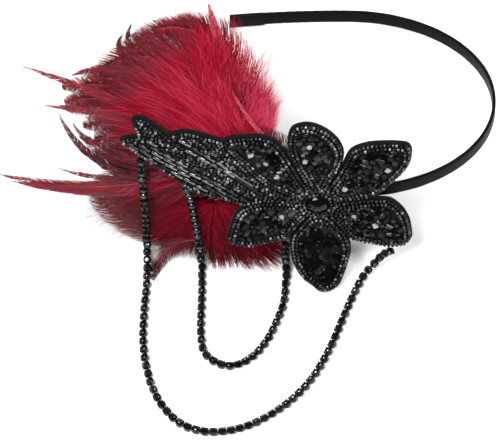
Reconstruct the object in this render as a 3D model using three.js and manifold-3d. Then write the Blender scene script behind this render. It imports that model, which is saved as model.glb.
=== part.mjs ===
// A beaded flapper headband lying on a table: a ribbon-covered C band, a felt and bead flower
// with a leaf on its near arm, two swagged rhinestone chains and a fan of dyed feathers.
// Millimetres, +Z up. The band leans: its far arm rests on the table, the near arm is raised.
// The flower is drawn in the "side" frame: x along the near arm towards the crown, y across the
// ribbon and z outwards, with its origin on the outer face of the near arm.
import * as THREE from 'three';
import { mergeVertices } from 'three/addons/utils/BufferGeometryUtils.js';
import Module from 'manifold-3d';

const wasm = await Module();
wasm.setup();
const RAD = Math.PI / 180;

// Driving dimensions of the band
const bandSpread = 129.5;      // between the two arms, centre to centre, at the widest place
const crownDepth = 71.7;       // from the widest place to the crown
const crownOffset = 13.9;      // the widest place, ahead of the flower's middle
const armLength = 61;          // from the widest place back to the ends
const armDraw = 4.4;           // how far each end is drawn in
const ribbonWidth = 6.8;
const ribbonThickness = 1.8;
const ribbonChamfer = 0.5;
const ribbonFold = 18;         // length of the folded-over ribbon at each end
const foldThickness = 0.7;     // what the fold adds
const bandSkew = 0.75;         // degrees that the C is turned against the near arm
const bandLean = 21;           // degrees between the C's plane and the table
const foldStep = 0.4;          // length of the step where the fold ends
const crownSteps = 19;
const armSteps = 3;

// Driving dimensions of the flower and leaf
const seatGap = 0.3;           // clearance between pieces that touch
const feltThickness = 1.5;
const feltMargin = 0.5;        // felt showing round the beadwork
const flowerCentre = [-2.15, -5.2];
const padHeight = 1.9;         // middle of a petal
const rimHeight = 2.7;         // row of beads round a petal
const edgeHeight = 1.3;
const petalRoot = 8.6;         // from the flower's middle to where the petals start
const petalGap = 0.5;          // between neighbouring petals
const petalWaist = 0.30;       // half-width at the root, as a share of the petal's own
const hubMargin = 1;           // felt hub past the petals' roots
const chipRelief = 1.0;        // how far the stone chips rise and sink in a petal
const stoneRadius = 5.8;
const stoneHeight = 4.2;
const stoneTable = 0.55;       // flat top of the middle stone, as a share of its radius
const girdleHeight = 2.5;
const girdleInset = 0.4;
const beadRingWidth = 2.3;     // ring of beads round the middle stone
const beadRingHeight = 2.1;
const beadRingEdge = 1.2;      // height of the ring's outer wall
const beadRingSlope = 0.8;     // from the outer wall in to the ring's crest
const stoneSeatHeight = 1.6;   // foot of the groove between the ring and the stone
const petalFoldAt = 18;        // where the bottom petal starts to bend forward
const petalFoldAngle = 15;
const leafBase = [-38, -7.25];
const leafAngle = 147;
const leafLength = 76;
const leafWidth = 30;
const leafHeight = 2.0;
const bugleRadius = 0.9;
const cutMargin = 1;           // how far a cutting solid reaches past what it cuts

// Driving dimensions of the chains
const chainPitch = 4.4;
const cupRadius = 1.85;
const cupHeight = 2.0;
const stoneCrown = 0.8;        // height of the faceted stone above its cup
const tableShare = 0.55;
const cupBelow = 0.6;          // cup base under the link wire
const linkRadius = 0.35;
const cupSides = 10;
const linkSides = 5;
const hangingFace = [0, -1, 0.35];  // way that the stones face where a strand hangs
const turnRate = 1.6;          // how soon the stones turn to it as the strand steepens

// Driving dimensions of the feathers
const plumeReach = 130;        // longest feather from the quill head
const bladeThickness = 1.9;
const fluffReach = 112;
const fluffThickness = 5;
const quillRadius = 3.4;
const quillLength = 13;
const quillHead = [-36, 13.8];   // where the feathers are bound, behind the felt above the ribbon
const fluffElbow = [-53, 6];     // the bound stalks pass the ribbon's end here
const fluffTail = [-52, -10.5];
const tailDepth = 4;
const fluffDepth = 2.72;         // middle of the fluff's binding, behind the ribbon's face
const fluffBinding = 2.55;       // its radius
const stalkRadius = 1.6;
const dropThickness = 3.5;
const featherSetback = 10;       // behind the ribbon's face, the unit of the feathers' setbacks
const hackleDepth = 9;           // where the hackles leave their binding
const bindingEnd = 1.2;          // binding past the hackles

// Petals counter-clockwise from the upper right. Length and half-width in mm; the outline's rows
// give a place as a share of the length, and the edge on either side as a share of half-width.
const PETALS = [
  { name: 'petal_1', angle: 38, length: 57.5, half: 15, outline: [
    { at: 0.28, left: 0.53, right: 0.60 }, { at: 0.44, left: 0.85, right: 0.87 },
    { at: 0.60, left: 1.18, right: 0.77 }, { at: 0.74, left: 1.08, right: 0.65 },
    { at: 0.87, left: 0.77, right: 0.45 }, { at: 0.95, left: 0.52, right: 0.18 },
    { at: 1.00, left: 0.30, right: -0.10 }] },
  { name: 'petal_2', angle: 93, length: 52, half: 13, outline: [
    { at: 0.29, left: 0.58, right: 0.56 }, { at: 0.44, left: 0.77, right: 0.87 },
    { at: 0.62, left: 0.89, right: 1.05 }, { at: 0.77, left: 0.95, right: 0.90 },
    { at: 0.89, left: 0.88, right: 0.57 }, { at: 0.965, left: 0.74, right: 0.20 },
    { at: 1.00, left: 0.43, right: -0.12 }] },
  { name: 'petal_3', angle: 137, length: 61, half: 14, outline: [
    { at: 0.27, left: 0.42, right: 0.46 }, { at: 0.42, left: 0.57, right: 0.80 },
    { at: 0.56, left: 0.55, right: 1.02 }, { at: 0.70, left: 0.44, right: 1.12 },
    { at: 0.83, left: 0.36, right: 0.93 }, { at: 0.93, left: 0.28, right: 0.50 },
    { at: 1.00, left: 0.14, right: 0.10 }] },
  { name: 'petal_4', angle: 209, length: 50, half: 14, outline: [
    { at: 0.30, left: 0.57, right: 0.65 }, { at: 0.47, left: 0.94, right: 0.97 },
    { at: 0.62, left: 0.86, right: 1.08 }, { at: 0.75, left: 0.78, right: 0.96 },
    { at: 0.87, left: 0.67, right: 0.56 }, { at: 0.95, left: 0.46, right: 0.24 },
    { at: 1.00, left: 0.20, right: 0.02 }] },
  { name: 'petal_5', angle: 272.5, length: 53.4, half: 14, fold: true, outline: [
    { at: 0.28, left: 0.72, right: 0.66 }, { at: 0.43, left: 1.02, right: 0.98 },
    { at: 0.57, left: 1.07, right: 0.99 }, { at: 0.70, left: 0.96, right: 0.91 },
    { at: 0.85, left: 0.77, right: 0.64 }, { at: 0.95, left: 0.58, right: 0.25 },
    { at: 1.00, left: 0.26, right: 0.06 }] },
  { name: 'petal_6', angle: 335, length: 51.7, half: 15, outline: [
    { at: 0.29, left: 0.60, right: 0.55 }, { at: 0.46, left: 0.97, right: 0.98 },
    { at: 0.60, left: 1.12, right: 0.95 }, { at: 0.73, left: 0.98, right: 0.85 },
    { at: 0.85, left: 0.67, right: 0.77 }, { at: 0.95, left: 0.22, right: 0.60 },
    { at: 1.00, left: -0.10, right: 0.34 }] },
];

// Leaf outline from its lower edge round its two tips: shares of leafLength and leafWidth
const LEAF = [
  { along: 0.00, across: -0.02 }, { along: 0.13, across: 0.04 }, { along: 0.26, across: 0.12 },
  { along: 0.37, across: 0.17 }, { along: 0.49, across: 0.10 }, { along: 0.68, across: 0.03 },
  { along: 0.86, across: -0.06 }, { along: 0.97, across: -0.15 }, { along: 0.94, across: -0.27 },
  { along: 0.90, across: -0.36 }, { along: 0.97, across: -0.53 }, { along: 1.00, across: -0.65 },
  { along: 0.955, across: -0.74 }, { along: 0.81, across: -0.70 }, { along: 0.74, across: -0.66 },
  { along: 0.70, across: -0.79 }, { along: 0.65, across: -0.89 }, { along: 0.49, across: -0.99 },
  { along: 0.42, across: -1.03 }, { along: 0.20, across: -0.84 }, { along: -0.16, across: -0.62 },
  { along: -0.17, across: -0.42 },
];

// Rows of long beads on the leaf: across as a share of leafWidth, the rest of leafLength
const BUGLE_ROWS = [
  { across: 0.04, from: 0.16, to: 0.55 }, { across: -0.05, from: 0.10, to: 0.80 },
  { across: -0.14, from: 0.04, to: 0.88 }, { across: -0.30, from: 0.02, to: 0.82 },
  { across: -0.46, from: 0.10, to: 0.90 }, { across: -0.56, from: 0.22, to: 0.86 },
];

// Feather blades from the quill head: degrees, reach and width as shares of plumeReach, bow as a
// share of the blade's own reach, and how far its middle and tip lie forward, as shares of
// featherSetback
const HACKLES = [
  { angle: 183, reach: 0.93, width: 0.060, bow: 0.04, mid: -0.94, tip: -0.7 },
  { angle: 166, reach: 0.60, width: 0.140, bow: 0.03, mid: -0.94, tip: -0.8 },
  { angle: 160, reach: 0.68, width: 0.060, bow: -0.10, mid: -0.94, tip: -0.8 },
  { angle: 154, reach: 0.82, width: 0.120, bow: -0.03, mid: -0.94, tip: -0.8 },
  { angle: 149, reach: 0.97, width: 0.070, bow: -0.03, mid: -0.94, tip: -0.7 },
  { angle: 146, reach: 0.78, width: 0.160, bow: -0.12, mid: -0.94, tip: -0.8 },
  { angle: 132, reach: 0.77, width: 0.220, bow: -0.07, mid: -0.94, tip: -1 },
  { angle: 121, reach: 0.79, width: 0.180, bow: -0.05, mid: -0.94, tip: -1 },
  { angle: 111, reach: 0.79, width: 0.200, bow: -0.04, mid: -0.94, tip: -1 },
  { angle: 198, reach: 0.60, width: 0.130, bow: 0.04, mid: -0.94, tip: -0.8 },
  { angle: 212, reach: 0.60, width: 0.130, bow: 0.04, mid: -0.98, tip: -1.25 },
  { angle: 227, reach: 0.58, width: 0.130, bow: 0.05, mid: -1.05, tip: -1.6 },
];

// Fluff locks in the same way, as shares of fluffReach
const FLUFF = [
  { angle: 99, reach: 0.96, width: 0.17, bow: 0.03, mid: -0.26, tip: -0.3 },
  { angle: 91, reach: 0.79, width: 0.20, bow: 0.00, mid: -0.26, tip: -0.3 },
  { angle: 82, reach: 0.61, width: 0.17, bow: -0.04, mid: -0.26, tip: -0.3 },
  { angle: 71, reach: 0.44, width: 0.14, bow: -0.06, mid: -0.26, tip: -0.3 },
  { angle: 111, reach: 0.80, width: 0.26, bow: 0.00, mid: -0.26, tip: -0.3 },
  { angle: 128, reach: 0.76, width: 0.28, bow: 0.00, mid: -0.26, tip: -0.3 },
  { angle: 148, reach: 0.68, width: 0.28, bow: 0.00, mid: -0.26, tip: -0.3 },
];

// Fluff that hangs from the tail of the head, below the ribbon's end, and spreads on the table
const DROPS = [
  { angle: 234, reach: 0.32, width: 0.17, bow: 0.00, mid: -0.6, tip: -0.8 },
  { angle: 257, reach: 0.32, width: 0.17, bow: 0.00, mid: -0.7, tip: -0.6 },
  { angle: 280, reach: 0.34, width: 0.17, bow: 0.00, mid: -0.8, tip: -0.1 },
  { angle: 301, reach: 0.42, width: 0.16, bow: 0.00, mid: -0.8, tip: 0.15 },
];

// Chain routes: chosen points of the link wire between each strand's two ends, in mm from the
// point of the table under the flower's middle; the strands hang first and then lie down
const OUTER_ROUTE = [
  [-87.1, 1.8, 51], [-86.6, -3.3, 33], [-86.4, -5.5, 17.5], [-86.2, -8.2, 8], [-85.9, -12.5, 3],
  [-85.7, -18.5, 1.1], [-85.9, -27.8, 0.8], [-86.9, -41.3, 0.8], [-87.2, -59.2, 0.8],
  [-85.1, -74.4, 0.8], [-79.6, -89.7, 0.8], [-70.2, -101.0, 0.8], [-59.7, -105.9, 0.8],
  [-46.8, -106.2, 0.8], [-33.2, -102.2, 0.8], [-17.4, -92.2, 0.8], [-4.9, -79.0, 0.8],
  [4.1, -63.2, 0.8], [10.8, -46.9, 0.8], [17.3, -31.5, 0.9], [21.5, -23.2, 2.2],
  [26.2, -17.7, 6], [30.6, -15.2, 11],
];
const INNER_ROUTE = [
  [-64.5, -1.1, 48], [-62.7, -5.1, 38], [-61.2, -8.9, 25], [-60.1, -11.9, 12.5],
  [-59.3, -15.3, 5.6], [-58.8, -19.7, 2], [-58.4, -25.1, 0.8], [-58.6, -38.6, 0.8],
  [-58.8, -54.1, 0.8], [-57.0, -64.8, 0.8], [-50.8, -70.1, 0.8], [-42.2, -71.4, 0.8],
  [-33.2, -66.4, 0.8], [-26.4, -57.9, 0.8], [-21.5, -47.7, 0.8], [-18.0, -37.5, 0.8],
  [-17.0, -27.0, 0.9], [-17.2, -20.5, 2.6], [-17.3, -16.6, 7], [-17.4, -14.8, 13],
];

// Heights in the side frame
const feltBack = seatGap;
const feltFront = feltBack + feltThickness;
const beadBack = feltFront + seatGap;
const sideLift = (bandSpread + ribbonThickness) * Math.sin(bandLean * RAD)
  + ribbonWidth / 2 * Math.cos(bandLean * RAD);

const material = (color, roughness, metalness = 0) =>
  new THREE.MeshStandardMaterial({ color, roughness, metalness });
const satin = material(0x17181b, 0.45);
const felt = material(0x0d0d0f, 0.95);
const beadwork = material(0x1b1c20, 0.25, 0.3);
const jet = material(0x0b0b0e, 0.1, 0.2);
const rhinestone = material(0x24252a, 0.2, 0.6);
const wine = material(0x6a1426, 0.5);
const crimson = material(0xb9193a, 0.9);

function geometryOf(vertices, triangles) {
  const geometry = new THREE.BufferGeometry();
  geometry.setAttribute('position', new THREE.Float32BufferAttribute(vertices, 3));
  geometry.setIndex(triangles);
  return geometry;
}

// The same closed body with its faces pointing out
function outward(geometry) {
  const at = geometry.attributes.position;
  const index = geometry.index.array;
  const corner = (i) => new THREE.Vector3().fromBufferAttribute(at, index[i]);
  let volume = 0;
  for (let i = 0; i < index.length; i += 3) {
    volume += corner(i).dot(corner(i + 1).cross(corner(i + 2)));
  }
  if (volume < 0) {
    for (let i = 0; i < index.length; i += 3) {
      [index[i], index[i + 1]] = [index[i + 1], index[i]];
    }
  }
  return geometry;
}

// Closed body through rings of as many points each
function loft(rings) {
  const count = rings[0].length;
  const vertices = rings.flat(2);
  const triangles = [];
  for (let r = 0; r < rings.length - 1; r++) {
    for (let i = 0; i < count; i++) {
      const j = (i + 1) % count;
      const [a, b, c, d] = [r * count + i, r * count + j, (r + 1) * count + j, (r + 1) * count + i];
      triangles.push(a, b, c, a, c, d);
    }
  }
  const last = (rings.length - 1) * count;
  for (let i = 1; i < count - 1; i++) {
    triangles.push(0, i + 1, i, last, last + i, last + i + 1);
  }
  return outward(geometryOf(vertices, triangles));
}

function solidOf(geometry) {
  const clean = geometry.clone();
  clean.deleteAttribute('normal');
  clean.deleteAttribute('uv');
  const merged = mergeVertices(clean, 1e-4);
  return new wasm.Manifold(new wasm.Mesh({
    numProp: 3,
    vertProperties: Float32Array.from(merged.attributes.position.array),
    triVerts: Uint32Array.from(merged.index.array),
  }));
}

function fuse(geometries) {
  let solids = geometries.map(solidOf);
  while (solids.length > 1) {
    const next = [];
    for (let i = 0; i < solids.length; i += 2) {
      next.push(i + 1 < solids.length ? solids[i].add(solids[i + 1]) : solids[i]);
    }
    solids = next;
  }
  return solids[0];
}

function geometryFrom(solid) {
  const mesh = solid.getMesh();
  const geometry = geometryOf(Array.from(mesh.vertProperties), Array.from(mesh.triVerts));
  geometry.computeVertexNormals();
  return geometry;
}

function named(name, geometry, look) {
  const mesh = new THREE.Mesh(geometry, look);
  mesh.name = name;
  return mesh;
}

// Ribbon-covered band: a half ellipse at the crown and two arms, drawn in towards their ends
function bandGeometry() {
  const half = bandSpread / 2;
  const stations = [];
  const arm = (share, side) => ({
    x: crownOffset - armLength * share,
    z: -half + side * (half - armDraw * share * share),
    fromEnd: armLength * (1 - share),
  });
  const shares = [];
  for (let i = 0; i <= armSteps; i++) shares.push(i / armSteps);
  const foldShare = 1 - ribbonFold / armLength;
  shares.push(foldShare, foldShare + foldStep / armLength);
  shares.sort((a, b) => b - a);
  for (const share of shares) stations.push(arm(share, -1));
  for (let i = 1; i < crownSteps; i++) {
    const turn = -Math.PI / 2 + Math.PI * i / crownSteps;
    stations.push({
      x: crownOffset + crownDepth * Math.cos(turn),
      z: -half + half * Math.sin(turn),
      fromEnd: Infinity,
    });
  }
  for (const share of shares.reverse()) stations.push(arm(share, 1));
  const rings = stations.map((here, i) => {
    const before = stations[Math.max(i - 1, 0)];
    const after = stations[Math.min(i + 1, stations.length - 1)];
    const run = Math.hypot(after.x - before.x, after.z - before.z);
    const [nx, nz] = [(after.z - before.z) / run, -(after.x - before.x) / run];
    const folded = here.fromEnd < ribbonFold - foldStep / 2;
    const thick = (ribbonThickness + (folded ? foldThickness : 0)) / 2;
    const inset = folded ? foldThickness / 2 : 0;
    const wide = ribbonWidth / 2;
    const flat = wide - ribbonChamfer;
    const section = [[wide, 0], [flat, thick], [-flat, thick], [-wide, 0], [-flat, -thick], [flat, -thick]];
    return section.map(([y, n]) => [
      here.x + nx * (n - inset), y, here.z + nz * (n - inset) - ribbonThickness / 2]);
  });
  const geometry = loft(rings);
  geometry.rotateY(-bandSkew * RAD);
  return geometry;
}

const petalAxes = (petal) => {
  const turn = petal.angle * RAD;
  return { out: [Math.cos(turn), Math.sin(turn)], left: [-Math.sin(turn), Math.cos(turn)] };
};

// Rows of a petal's outline in mm, held clear of the lines halfway to its neighbours
function petalRows(petal, grow) {
  const index = PETALS.indexOf(petal);
  const count = PETALS.length;
  const halfTurn = (other) => Math.abs(((other.angle - petal.angle + 540) % 360) - 180) / 2 * RAD;
  const toLeft = halfTurn(PETALS[(index + 1) % count]);
  const toRight = halfTurn(PETALS[(index + count - 1) % count]);
  const limit = (at, turn) => at * Math.tan(turn) - petalGap / 2 / Math.cos(turn);
  const root = { at: petalRoot / petal.length, left: petalWaist, right: petalWaist };
  const past = petal.fold ? 0 : grow;
  return [root, ...petal.outline].map((row, i, rows) => {
    const at = row.at * petal.length + (i === rows.length - 1 ? grow : 0);
    return {
      at,
      left: Math.min(row.left * petal.half + grow, limit(at, toLeft) + past),
      right: Math.min(row.right * petal.half + grow, limit(at, toRight) + past),
    };
  });
}

// A point of a petal: out from the flower's middle, to its left, and up from the ribbon's face
function petalPoint(petal, at, side, height) {
  const { out, left } = petalAxes(petal);
  let y = flowerCentre[1] + out[1] * at + left[1] * side;
  const x = flowerCentre[0] + out[0] * at + left[0] * side;
  let z = height;
  const line = flowerCentre[1] - petalFoldAt;
  if (petal.fold && y < line) {
    const turn = petalFoldAngle * RAD;
    const down = line - y;
    y = line - down * Math.cos(turn) + height * Math.sin(turn);
    z = down * Math.sin(turn) + height * Math.cos(turn);
  }
  return [x, y, z];
}

function petalPlate(petal, grow, low, high) {
  return loft(petalRows(petal, grow).map(({ at, left, right }) => [
    petalPoint(petal, at, -right, low), petalPoint(petal, at, left, low),
    petalPoint(petal, at, left, high), petalPoint(petal, at, -right, high)]));
}

// Columns across a padded petal, from its right edge to its left
const COLUMNS = [
  { across: -1, is: 'edge' }, { across: -0.84, is: 'rim' }, { across: -0.45, is: 'chips' },
  { across: 0, is: 'chips' }, { across: 0.45, is: 'chips' }, { across: 0.84, is: 'rim' },
  { across: 1, is: 'edge' },
];

// The stone chips tilt every way: a steady scatter of heights between 0 and 1
const SCATTER = { row: 12.9, across: 47.3, power: 0.7 };
const chipStep = (row, across) =>
  Math.abs(Math.sin(SCATTER.row * row + SCATTER.across * across)) ** SCATTER.power;

function petalBody(petal) {
  const rows = petalRows(petal, 0);
  const last = rows.length - 1;
  const rings = rows.map(({ at, left, right }, i) => {
    const place = (across) => -right + (across + 1) / 2 * (left + right);
    const top = COLUMNS.map((column) => {
      let height = padHeight + chipRelief * (chipStep(i, column.across) - 0.5);
      if (column.is === 'rim' || i === 1 || i === last - 1) height = rimHeight;
      if (column.is === 'edge' || i === 0 || i === last) height = edgeHeight;
      return petalPoint(petal, at, place(column.across), beadBack + height);
    });
    return [petalPoint(petal, at, left, beadBack), ...top.reverse(),
      petalPoint(petal, at, -right, beadBack)].reverse();
  });
  return geometryFrom(solidOf(loft(rings)));
}

function leafPoint({ along, across }) {
  const turn = leafAngle * RAD;
  const [a, c] = [along * leafLength, across * leafWidth];
  return [leafBase[0] + a * Math.cos(turn) - c * Math.sin(turn),
    leafBase[1] + a * Math.sin(turn) + c * Math.cos(turn)];
}

// An outline moved out by a margin, each corner along the bisector of its two edges
function grown(points, margin) {
  return points.map(([x, y], i) => {
    const before = points[(i + points.length - 1) % points.length];
    const after = points[(i + 1) % points.length];
    const [dx, dy] = [after[0] - before[0], after[1] - before[1]];
    const run = Math.hypot(dx, dy);
    return [x - dy / run * margin, y + dx / run * margin];
  });
}

function leafPlate(margin, low, high) {
  const outline = grown(LEAF.map(leafPoint), margin);
  const shape = new THREE.Shape(outline.map(([x, y]) => new THREE.Vector2(x, y)));
  const plate = new THREE.ExtrudeGeometry(shape, { depth: high - low, bevelEnabled: false });
  plate.translate(0, 0, low);
  return plate;
}

// A straight bar with a round section between two points
function bar(from, to, radius, sides) {
  const [a, b] = [new THREE.Vector3(...from), new THREE.Vector3(...to)];
  const axis = b.clone().sub(a);
  const rod = new THREE.CylinderGeometry(radius, radius, axis.length(), sides);
  rod.applyQuaternion(new THREE.Quaternion().setFromUnitVectors(
    new THREE.Vector3(0, 1, 0), axis.clone().normalize()));
  const middle = a.add(b).multiplyScalar(0.5);
  rod.translate(middle.x, middle.y, middle.z);
  return rod;
}

function leafBody() {
  const rows = BUGLE_ROWS.map(({ across, from, to }) => {
    const height = beadBack + leafHeight;
    return bar([...leafPoint({ along: from, across }), height],
      [...leafPoint({ along: to, across }), height], bugleRadius, 6);
  });
  const pad = leafPlate(0, beadBack, beadBack + leafHeight);
  const clear = leafHeight + bugleRadius + cutMargin;
  const neighbours = PETALS.filter(({ name }) => name === 'petal_3' || name === 'petal_4')
    .map((petal) => petalPlate(petal, petalGap, beadBack - cutMargin, beadBack + clear));
  const centre = new THREE.CylinderGeometry(petalRoot, petalRoot, 2 * clear, 16);
  centre.rotateX(Math.PI / 2);
  centre.translate(...flowerCentre, beadBack);
  const body = fuse([pad, ...rows]).subtract(fuse([...neighbours, centre]));
  return geometryFrom(body);
}

function feltBody() {
  const plates = PETALS.map((petal) => petalPlate(petal, feltMargin, feltBack, feltFront));
  const hubRadius = petalRoot + hubMargin;
  const hub = new THREE.CylinderGeometry(hubRadius, hubRadius, feltThickness, 12);
  hub.rotateX(Math.PI / 2);
  hub.translate(...flowerCentre, feltBack + feltThickness / 2);
  return geometryFrom(fuse([...plates, leafPlate(feltMargin, feltBack, feltFront), hub]));
}

function centreStone() {
  const ring = stoneRadius + beadRingWidth;
  const profile = [[0, 0], [ring, 0], [ring, beadRingEdge], [ring - beadRingSlope, beadRingHeight],
    [stoneRadius, stoneSeatHeight], [stoneRadius - girdleInset, girdleHeight],
    [stoneRadius * stoneTable, stoneHeight], [0, stoneHeight]];
  const stone = new THREE.LatheGeometry(profile.map(([r, h]) => new THREE.Vector2(r, h)), 10);
  stone.rotateX(Math.PI / 2);
  stone.translate(...flowerCentre, beadBack);
  return geometryFrom(solidOf(stone));
}

const side = new THREE.Group();
side.position.set(0, 0, sideLift);
side.rotation.x = (90 - bandLean) * RAD;
side.updateMatrixWorld();

const onTable = (point) => new THREE.Vector3(...point).applyMatrix4(side.matrixWorld);
const leafAnchor = (along, across) => onTable([...leafPoint({ along, across }), beadBack]);
const petalAnchor = (name, at, aside) => onTable(
  petalPoint(PETALS.find((petal) => petal.name === name), at, aside, beadBack));

// Corners of a cup in its own axes: x along the strand and z up through the stone
function cupCorners() {
  const ring = (count, radius, height) => Array.from({ length: count }, (_, i) => {
    const turn = 2 * Math.PI * (i + 0.5) / count;
    return [radius * Math.cos(turn), radius * Math.sin(turn), height];
  });
  const wall = cupRadius * Math.cos(Math.PI / cupSides);
  const wire = (x) => Array.from({ length: linkSides }, (_, i) => {
    const turn = 2 * Math.PI * (i + 0.25) / linkSides;
    return [x, linkRadius * Math.cos(turn), linkRadius * Math.sin(turn)];
  });
  const rim = cupHeight - cupBelow;
  return [...ring(cupSides, cupRadius, -cupBelow), ...ring(cupSides, cupRadius, rim),
    ...ring(cupSides / 2, cupRadius * tableShare, rim + stoneCrown), ...wire(wall), ...wire(-wall)];
}

// Faces of a cup: a round setting, then the stone's facets rising to a small table. A wall
// facet that a link leaves from has the link's section cut out of it.
function cupFaces(corners, linkedAhead, linkedBehind) {
  const faces = [];
  const facets = cupSides / 2;
  const table = 2 * cupSides;
  const [ahead, behind] = [table + facets, table + facets + linkSides];
  const flat = ([, y, z]) => new THREE.Vector2(y, z);
  for (let i = 1; i < cupSides - 1; i++) faces.push(0, i + 1, i);
  for (let i = 0; i < cupSides; i++) {
    const j = (i + 1) % cupSides;
    const wall = [i, j, cupSides + j, cupSides + i];
    const isAhead = linkedAhead && i === cupSides - 1;
    const isBehind = linkedBehind && i === facets - 1;
    if (isAhead || isBehind) {
      const hole = Array.from({ length: linkSides }, (_, k) => (isAhead ? ahead : behind) + k);
      const used = [...wall, ...hole];
      const mirror = isAhead ? 1 : -1;
      const points = used.map((n) => flat(corners[n]).multiply(new THREE.Vector2(mirror, 1)));
      for (const face of THREE.ShapeUtils.triangulateShape(points.slice(0, 4), [points.slice(4)])) {
        faces.push(...face.map((n) => used[n]));
      }
    } else {
      faces.push(wall[0], wall[1], wall[2], wall[0], wall[2], wall[3]);
    }
  }
  for (let k = 0; k < facets; k++) {
    const [a, b, c] = [2 * k, 2 * k + 1, (2 * k + 2) % cupSides].map((n) => cupSides + n);
    const [t, u] = [table + k, table + (k + 1) % facets];
    faces.push(a, b, t, b, c, u, b, u, t);
    if (k > 0 && k < facets - 1) faces.push(table, t, u);
  }
  return faces;
}

// A strand: cups evenly along the route with their stones turned up, joined by short links
function chainBody(start, route, end) {
  const points = [start, ...route.map((point) => new THREE.Vector3(...point)), end];
  const curve = new THREE.CatmullRomCurve3(points, false, 'centripetal');
  curve.arcLengthDivisions = 1200;
  const links = Math.round(curve.getLength() / chainPitch);
  const hanging = new THREE.Vector3(...hangingFace);
  const corners = cupCorners();
  const vertices = [];
  const triangles = [];
  for (let i = 0; i <= links; i++) {
    const along = curve.getTangentAt(i / links);
    const raised = Math.min(1, Math.abs(along.z) * turnRate);
    const face = new THREE.Vector3(0, 0, 1).lerp(hanging, raised);
    face.addScaledVector(along, -face.dot(along)).normalize();
    const across = new THREE.Vector3().crossVectors(face, along);
    const place = new THREE.Matrix4().makeBasis(along, across, face);
    place.setPosition(curve.getPointAt(i / links));
    const first = vertices.length / 3;
    for (const corner of corners) {
      vertices.push(...new THREE.Vector3(...corner).applyMatrix4(place).toArray());
    }
    triangles.push(...cupFaces(corners, i < links, i > 0).map((n) => first + n));
    if (i === links) break;
    const leave = first + corners.length - 2 * linkSides;
    const arrive = first + 2 * corners.length - linkSides;
    for (let k = 0; k < linkSides; k++) {
      const next = (k + 1) % linkSides;
      triangles.push(leave + k, leave + next, arrive + next, leave + k, arrive + next, arrive + k);
    }
  }
  return geometryFrom(solidOf(geometryOf(vertices, triangles)));
}

// Sections of a feather: its place along the quill and its width as a share of the widest
const BLADE = [
  { at: 0.01, wide: 0.1 }, { at: 0.30, wide: 0.9 }, { at: 0.76, wide: 0.78 }, { at: 1, wide: 0.03 },
];

// A feather as a thin blade with a flat back and a raised spine, on a quadratic curve from its root
function blade(feather, root, reachUnit, thickness) {
  const turn = feather.angle * RAD;
  const [dx, dy] = [Math.cos(turn), Math.sin(turn)];
  const reach = feather.reach * reachUnit;
  const half = feather.width * reachUnit / 2;
  const [mid, tip] = [feather.mid * featherSetback, feather.tip * featherSetback];
  const spine = (t) => {
    const sideways = feather.bow * reach * 4 * t * (1 - t);
    return [root[0] + dx * reach * t - dy * sideways, root[1] + dy * reach * t + dx * sideways,
      root[2] * (1 - t) * (1 - 2 * t) + mid * 4 * t * (1 - t) + tip * t * (2 * t - 1)];
  };
  return loft(BLADE.map(({ at, wide }) => {
    const [x, y, z] = spine(at);
    const rise = thickness / 2 * Math.sqrt(wide);
    const w = half * wide;
    return [[x + dy * w, y - dx * w, z - rise], [x, y, z + rise], [x - dy * w, y + dx * w, z - rise]];
  }));
}

function fluffBody() {
  const root = [...quillHead, -fluffDepth];
  const elbow = [...fluffElbow, -fluffDepth];
  const tail = [...fluffTail, -tailDepth];
  const head = bar([quillHead[0], quillHead[1] + quillLength / 2, -fluffDepth],
    [quillHead[0], quillHead[1] - quillLength / 2, -fluffDepth], fluffBinding, 10);
  return geometryFrom(fuse([head, bar(root, elbow, stalkRadius, 6), bar(elbow, tail, stalkRadius, 6),
    ...FLUFF.map((lock) => blade(lock, root, fluffReach, fluffThickness)),
    ...DROPS.map((lock) => blade(lock, tail, fluffReach, dropThickness))]));
}

function hackleBody() {
  const head = bar([...quillHead, -fluffDepth - fluffBinding - seatGap],
    [...quillHead, -hackleDepth - bindingEnd], quillRadius, 10);
  return geometryFrom(fuse([head, ...HACKLES.map((feather) =>
    blade(feather, [...quillHead, -hackleDepth], plumeReach, bladeThickness))]));
}

side.add(named('band', bandGeometry(), satin));
side.add(named('felt_backing', feltBody(), felt));
for (const petal of PETALS) side.add(named(petal.name, petalBody(petal), beadwork));
side.add(named('center_stone', centreStone(), jet));
side.add(named('leaf_spray', leafBody(), beadwork));
side.add(named('hackle_plume', hackleBody(), wine));
side.add(named('marabou_fluff', fluffBody(), crimson));

const headband = new THREE.Group();
headband.add(side);
headband.add(named('outer_chain', chainBody(leafAnchor(0.765, 0.13), OUTER_ROUTE,
  petalAnchor('petal_6', 46.5, -14)), rhinestone));
headband.add(named('inner_chain', chainBody(leafAnchor(0.43, 0.22), INNER_ROUTE,
  petalAnchor('petal_4', 27, 17)), rhinestone));

// The origin is at the middle of the footprint, on the table
headband.updateMatrixWorld(true);
const box = new THREE.Box3().setFromObject(headband, true);
headband.position.set(-(box.min.x + box.max.x) / 2, -(box.min.y + box.max.y) / 2, -box.min.z);

export default headband;
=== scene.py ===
import math
from collections import namedtuple

import bpy
import numpy as np
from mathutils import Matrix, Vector, geometry


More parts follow.
